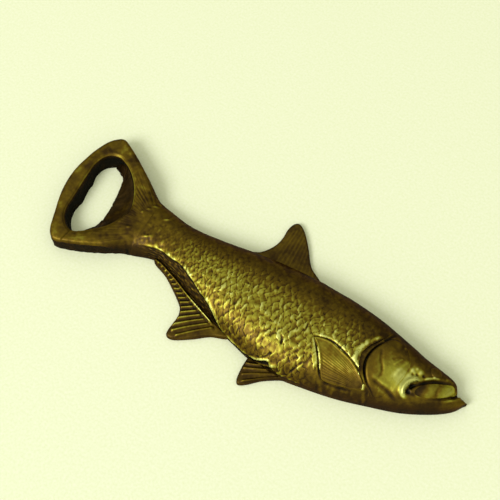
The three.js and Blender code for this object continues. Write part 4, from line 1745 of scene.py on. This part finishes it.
    def lip(self) -> bpy.types.Object:
        """Casts the hooked lip on the body side: a dished ledge with a ragged cast edge.

        Returns:
            The piece.
        """
        slot_centre = self.centre - self.rim_length / 2 + self.draft + self.slot_width / 2
        edge = np.array(self.SLOT_EDGE) * (self.slot_width, self.slot_span) + (slot_centre, self.SLOT_LEAN)
        edge = curve(edge, 240)
        angle = np.arctan2(edge[:, 1], edge[:, 0] - self.centre)
        out = np.hypot(edge[:, 1], edge[:, 0] - self.centre)
        span = np.linspace(0, 1, len(edge))
        ragged = 0.3 * GRAIN.at(span * 60, span * 0, 2.6) + 0.22 * GRAIN.at(span * 60, span * 0 + 7, 1.2)
        out = out + ragged * smooth(span, 0, 0.1) * (1 - smooth(span, 0.9, 1.0))
        wall = self.polar(self.rim, angle) + 0.05
        w = np.linspace(0, 1, 44)[:, None]
        x, y = self.place(angle, blend(wall, np.minimum(out, wall - 0.3), w))
        ends = smooth(np.abs(span - 0.5), 0.34, 0.5)
        ledge = blend(self.lip_root - 4.4 * ends, self.lip_edge - 1.5 * ends, smooth(w, -0.1, 1.1))
        relief = GRAIN.relief(x, y, self.LIP_ROUGH)
        dished = ledge - 0.5 * np.sin(np.pi * w) ** 1.5 - 0.7 * smooth(w, 0.93, 1.0) ** 2
        points = np.stack([x, y, dished + relief], -1)
        points[..., :2] = self.form.plan(points[..., 0], points[..., 1])
        patina = 0.15 + 0.1 * np.sin(np.pi * w) + 0.6 * relief + 0.08 * smooth(w, 0.85, 0.98) - 0.16 * ends
        return cast_piece("cap_lip", points, patina, Coat.DARK, Closing.FLAT_BACK)


# --------------------------------------------------------------------------- fins


@dataclass
class Fin:
    """A fin that stands out from the dorsal or the belly edge.

    Attributes:
        node: the CAD node's name.
        outline: (share of the base, share of the height) points from the rear to the front root.
        first: share along the body where the base begins.
        base: length of the base, mm.
        height: height of the fin, mm.
        side: 1 on the dorsal side, -1 on the belly side.
        thickness: mm at the root.
        margin: thickness lost at the margin, mm.
        edge: width of the rounded margin, mm.
        tone: patina of the smooth web.
        rows: places from the root to the margin.
        columns: places along the margin.
    """

    node: str
    outline: Path
    first: float
    base: float
    height: float
    side: int
    thickness: float = 2.6
    margin: float = 0.5
    edge: float = 0.9
    tone: float = 0.3
    rows: int = 100
    columns: int = 340

    ROUGH = ((0.05, 1.2, 0, 0), (0.08, 3.2, 8, 0))

    def in_plan(self, form: FishForm, points: Array) -> Array:
        """Turns shares of the base and the height into places.

        Args:
            form: the fish's form.
            points: the shares.

        Returns:
            Millimetres along and across.
        """
        shares = np.array(points, float)
        x = self.first * form.length + shares[:, 0] * self.base
        edge = form.dorsal(x / form.length) if self.side > 0 else form.belly(x / form.length)
        return np.stack([x, edge + self.side * shares[:, 1] * self.height], 1)

    def rays(self, form: FishForm) -> list[tuple[Array, float, float]]:
        """The fin's rays.

        Args:
            form: the fish's form.

        Returns:
            A line for each ray, with its width and height in mm.
        """
        return []

    def cast(self, form: FishForm) -> bpy.types.Object:
        """Casts the fin.

        Args:
            form: the fish's form.

        Returns:
            The piece.
        """
        rim = curve(self.in_plan(form, self.outline), self.columns)
        t = np.linspace(0, 1, self.columns)
        root = np.stack([blend(rim[0, 0], rim[-1, 0], t), blend(rim[0, 1], rim[-1, 1], t)], 1)
        w = np.linspace(0, 1, self.rows)[:, None, None]
        places = blend(root, rim, blend(w, w ** 0.7, 0.5))
        x, y = places[..., 0], places[..., 1]
        distance = nearest(places.reshape(-1, 2), rim)[0].reshape(x.shape)
        relief = GRAIN.relief(x, y, self.ROUGH)
        for line, width, height in self.rays(form):
            relief = relief + stroke_relief(places, line, width, height, (0.1, 0.06))
        relief = relief * smooth(distance, 0.1, 0.8)
        body = self.thickness - self.margin * (1 - smooth(distance, 0, 9))
        roll = 0.9 * (1 - np.sqrt((1 - (1 - np.clip(distance / self.edge, 0, 1)) ** 2).clip(0)))
        points = np.stack([x, y, body + relief - roll], -1)
        points[..., :2] = form.plan(x, y)
        base = self.tone + 0.08 * GRAIN.at(x, y, 5.0) - 0.06 * (1 - smooth(distance, 0.2, 1.2))
        patina = tone_of(relief, 3, 1.3, base)
        return cast_piece(self.node, points, patina, Coat.RUBBED, Closing.FLAT_BACK)


@dataclass
class DorsalFin(Fin):
    """The tall fin on the back, with faint rays that lean to the tail."""

    COUNT = 15
    TALLEST = 4
    # share of the base of the first ray, and from one ray to the next
    FEET = (0.08, 0.068)
    TIPS = (0.13, 0.045)
    WIDTH = 0.42  # mm
    HEIGHTS = (0.07, 0.1, 0.13)  # taken in turn, mm

    def rays(self, form: FishForm) -> list[tuple[Array, float, float]]:
        """Faint rays from the root to the margin.

        Args:
            form: the fish's form.

        Returns:
            A line for each ray, with its width and height in mm.
        """
        found = []
        for i in range(self.COUNT):
            foot = self.FEET[0] + i * self.FEET[1]
            tip = self.TIPS[0] + i * self.TIPS[1]
            reach = 1.0 - 0.35 * abs(i - self.TALLEST) / 6
            line = self.in_plan(form, [(foot, -0.05), (tip, reach)])
            found.append((curve(line, 12), self.WIDTH, self.HEIGHTS[i % len(self.HEIGHTS)]))
        return found


@dataclass
class AnalFin(Fin):
    """The long fin under the tail, with strong rays and a bead along its root."""

    COUNT = 17
    # from the rearmost ray to the foremost: the root in mm from the joint, the lean in degrees
    # and the length in mm
    ROOTS = (9.5, 42.0)
    LEANS = (20.0, 44.0)
    LENGTHS = (4.5, 14.5)
    # width and height of a ray and of the bead, and where the bead runs, mm
    RAY = (0.5, 0.62)
    BEAD = (0.5, 1.0)
    BEAD_SPAN = (6.5, 41.0)

    def rays(self, form: FishForm) -> list[tuple[Array, float, float]]:
        """Strong rays that fan out to the tail, and the bead.

        Args:
            form: the fish's form.

        Returns:
            A line for each of them, with its width and height in mm.
        """
        found = []
        for share in np.linspace(0, 1, self.COUNT):
            x = blend(*self.ROOTS, share)
            foot = np.array([x, float(form.belly(x / form.length)) - 0.8])
            lean = math.radians(blend(*self.LEANS, share))
            length = blend(*self.LENGTHS, min(share * 1.15, 1.0))
            tip = foot - length * np.array([math.cos(lean), math.sin(lean)])
            found.append((curve([foot, (foot + tip) / 2 + (0, 0.25), tip], 12), *self.RAY))
        x = np.linspace(*self.BEAD_SPAN, 40)
        bead = np.stack([x, form.belly(x / form.length) - 0.5], 1)
        found.append((bead, *self.BEAD))
        return found


@dataclass
class PelvicFin(Fin):
    """The small fin under the belly, with a thick front edge and a few ridges."""

    def rays(self, form: FishForm) -> list[tuple[Array, float, float]]:
        """Ridges from the root to the rear margin, and the bright line inside the front edge.

        Args:
            form: the fish's form.

        Returns:
            A line for each ridge, with its width and height in mm.
        """
        lines = (((0.95, -0.25), (0.55, 0.22), (0.2, 0.82)), ((0.8, -0.25), (0.42, 0.2), (0.14, 0.62)),
                 ((0.62, -0.2), (0.32, 0.15), (0.11, 0.4)), ((0.46, -0.2), (0.24, 0.08), (0.1, 0.22)))
        heights = (0.55, 0.3, 0.35, 0.45)
        return [(curve(self.in_plan(form, line), 14), 0.42, h) for line, h in zip(lines, heights)]


@dataclass
class PectoralFin:
    """The leaf-shaped fin laid flush on the flank, with fine rays from its root.

    Attributes:
        form: the fish's form.
        rise: how far the leaf stands above the flank, mm.
        bead: height of the bead inside its edge, mm.
        ray: height of a ray, mm.
        skirt: how deep it is let into the flank, mm.
        root: shares along and across of the point that the rays fan out from.
        spacing: degrees between rays.
    """

    form: FishForm
    rise: float = 0.25
    bead: float = 0.16
    ray: float = 0.024
    skirt: float = 1.1
    root: Point = (0.775, 0.075)
    spacing: float = 2.7

    def cast(self) -> bpy.types.Object:
        """Casts the fin.

        Returns:
            The piece.
        """
        skin, distance = plate_skin(self.form, PECTORAL, 84, 320)
        x, y = skin.points[..., 0], skin.points[..., 1]
        root = self.form.lift([self.root])[0]
        turn = np.degrees(np.arctan2(y - root[1], root[0] - x))
        run = np.hypot(x - root[0], y - root[1])
        sway = turn + 0.6 * GRAIN.at(x, y, 5.0)
        rays = np.cos(2 * np.pi * sway / self.spacing) + 1.6 * GRAIN.at(sway, run * 0.15, 1.6)
        shown = smooth(run, 4, 10) * smooth(distance, 0.5, 1.6) * (1.3 - smooth(skin.v, 0.2, 0.36))
        relief = self.ray * rays * shown + 0.06 * GRAIN.at(x, y, 1.4)
        bead = self.bead * (0.25 + 0.75 * smooth(skin.v, 0.12, 0.22))
        relief = relief + self.rise + bead * hump(distance, 0.55, 0.38)
        relief = relief - 0.35 * hump(distance, 0, 0.25)
        base = 0.56 - 0.2 * (1 - smooth(skin.v, 0.08, 0.28)) - 0.06 * smooth(skin.s, 0.66, 0.74)
        patina = tone_of(relief, 3, 1.4, base)
        points = skin.raised(relief)
        return cast_piece("pectoral_fin", points, patina, Coat.RUBBED, Closing.SKIRT, self.skirt)


def edge_fins() -> list[Fin]:
    """The three fins that stand out from the outline.

    Returns:
        The dorsal, the anal and the pelvic fin.
    """
    dorsal = DorsalFin(
        "dorsal_fin",
        ((-0.22, -0.3), (-0.22, 0.02), (-0.07, 0.13), (0.03, 0.29), (0.08, 0.46), (0.092, 0.63),
         (0.085, 0.8), (0.12, 0.96), (0.2, 1), (0.33, 0.87), (0.5, 0.6), (0.7, 0.25), (0.95, 0.02),
         (1, -0.3)),
        first=0.32, base=25.0, height=19.0, side=1, tone=0.33)
    anal = AnalFin(
        "anal_fin",
        ((0.02, -0.3), (0.02, 0.03), (0.2, 0.13), (0.42, 0.28), (0.48, 0.42), (0.49, 0.62), (0.485, 0.84),
         (0.5, 0.98), (0.57, 0.91), (0.7, 0.58), (0.82, 0.24), (0.96, -0.02), (0.96, -0.3)),
        first=0.06, base=42.0, height=16.5, side=-1, tone=0.41)
    pelvic = PelvicFin(
        "pelvic_fin",
        ((0.1, -0.5), (0.09, 0.1), (0.095, 0.45), (0.13, 0.84), (0.19, 0.93), (0.3, 0.76), (0.48, 0.36),
         (0.7, 0.05), (0.9, -0.1), (0.9, -0.5)),
        first=0.427, base=22.0, height=10.4, side=-1, tone=0.34)
    return [dorsal, anal, pelvic]


# --------------------------------------------------------------------------- studio


@dataclass
class Studio:
    """A pale card, one soft light from the belly side and an even pale surround.

    Attributes:
        turn: how far the camera's right lies round from the fish's own axis, degrees.
        elevation: camera's angle above the card, degrees.
        distance: camera to the point it looks at, mm.
        target: that point, mm.
        lens: focal length, mm.
        sensor: width of the sensor, mm.
        near: nearest distance the camera draws, m.
        card_size: diameter of the card, mm.
        key_turn: the light's bearing from the fish's axis, degrees.
        key_elevation: the light's angle above the card, degrees.
        key_distance: light to the fish, mm.
        key_size: diameter of the light, mm.
        key_power: its power, W.
        key_tint: its linear colour.
        surround: colour of the surround.
        brightest: where the surround is brightest, as a direction.
        fade: cosines to that direction where the surround is darkest and brightest.
        bright_side: strength of the surround's brightest part.
        dark_side: strength of its darkest part.
    """

    turn: float = 32.0
    elevation: float = 65.0
    distance: float = 361.6
    target: tuple[float, float, float] = (-11.04, 14.03, 0.0)
    lens: float = 70.0
    sensor: float = 36.0
    near: float = 0.01
    card_size: float = 30000.0
    key_turn: float = -112.0
    key_elevation: float = 42.0
    key_distance: float = 3000.0
    key_size: float = 1425.0
    key_power: float = 54.5
    key_tint: tuple[float, float, float] = (0.985, 1.0, 0.985)
    surround: str = "#F7FBE0"
    brightest: tuple[float, float, float] = (-0.1, -0.35, 0.93)
    fade: tuple[float, float] = (-0.2, 0.95)
    bright_side: float = 0.86
    dark_side: float = 0.24

    def build(self) -> None:
        """Builds the card, the lights and the camera."""
        self.card()
        self.light()
        self.camera()

    def card(self) -> None:
        """Lays the card under the fish."""
        bpy.ops.object.select_all(action="DESELECT")
        bpy.ops.mesh.primitive_circle_add(vertices=96, radius=self.card_size / 2 * MM, fill_type="NGON")
        card = bpy.context.active_object
        card.name = "card"
        card.data.materials.append(TablePaper().make())

    def light(self) -> None:
        """Sets the soft key light and the surround."""
        turn, rise = math.radians(self.key_turn), math.radians(self.key_elevation)
        back = Vector((math.cos(turn) * math.cos(rise), math.sin(turn) * math.cos(rise), math.sin(rise)))
        key = bpy.data.lights.new("key", "AREA")
        key.shape = "DISK"
        key.size = self.key_size * MM
        key.energy = self.key_power
        key.color = self.key_tint
        lamp = bpy.data.objects.new("key", key)
        lamp.location = back * self.key_distance * MM
        lamp.rotation_euler = back.to_track_quat("Z", "Y").to_euler()
        bpy.context.scene.collection.objects.link(lamp)
        world = bpy.data.worlds.new("surround")
        world.use_nodes = True
        sky = world.node_tree.nodes["Background"]
        sky.inputs["Color"].default_value = linear(self.surround)
        toward = add_node(world, "ShaderNodeTexCoord", {}, {}).outputs["Generated"]
        facing = add_node(world, "ShaderNodeVectorMath", {"operation": "DOT_PRODUCT", 1: self.brightest},
                          {0: toward})
        fade = add_node(world, "ShaderNodeMapRange", {
            "From Min": self.fade[0], "From Max": self.fade[1],
            "To Min": self.dark_side, "To Max": self.bright_side},
            {"Value": facing.outputs["Value"]})
        world.node_tree.links.new(fade.outputs["Result"], sky.inputs["Strength"])
        bpy.context.scene.world = world
        bpy.context.scene.view_settings.view_transform = "Standard"

    def camera(self) -> None:
        """Sets the camera."""
        turn, rise = math.radians(self.turn), math.radians(self.elevation)
        right = Vector((math.cos(turn), math.sin(turn), 0))
        back = Vector((math.sin(turn) * math.cos(rise), -math.cos(turn) * math.cos(rise), math.sin(rise)))
        up = back.cross(right)
        lens = bpy.data.cameras.new("camera")
        lens.lens = self.lens
        lens.sensor_width = self.sensor
        lens.clip_start = self.near
        camera = bpy.data.objects.new("camera", lens)
        spot = (Vector(self.target) + back * self.distance) * MM
        camera.matrix_world = Matrix.Translation(spot) @ Matrix((right, up, back)).transposed().to_4x4()
        bpy.context.scene.collection.objects.link(camera)
        bpy.context.scene.camera = camera


def main() -> None:
    """Builds every piece of the fish and the studio round it."""
    logging.basicConfig(level=logging.INFO, format="%(name)s %(message)s")
    Studio().build()
    form = FishForm.from_frame()
    log.info("body %.1f x %.1f x %.1f mm", form.length, form.depth, form.thickness)
    Trunk(form).cast()
    Head(form).cast()
    TailLoop(form).cast()
    PectoralFin(form).cast()
    for fin in edge_fins():
        fin.cast(form)


if __name__ == "__main__":
    main()
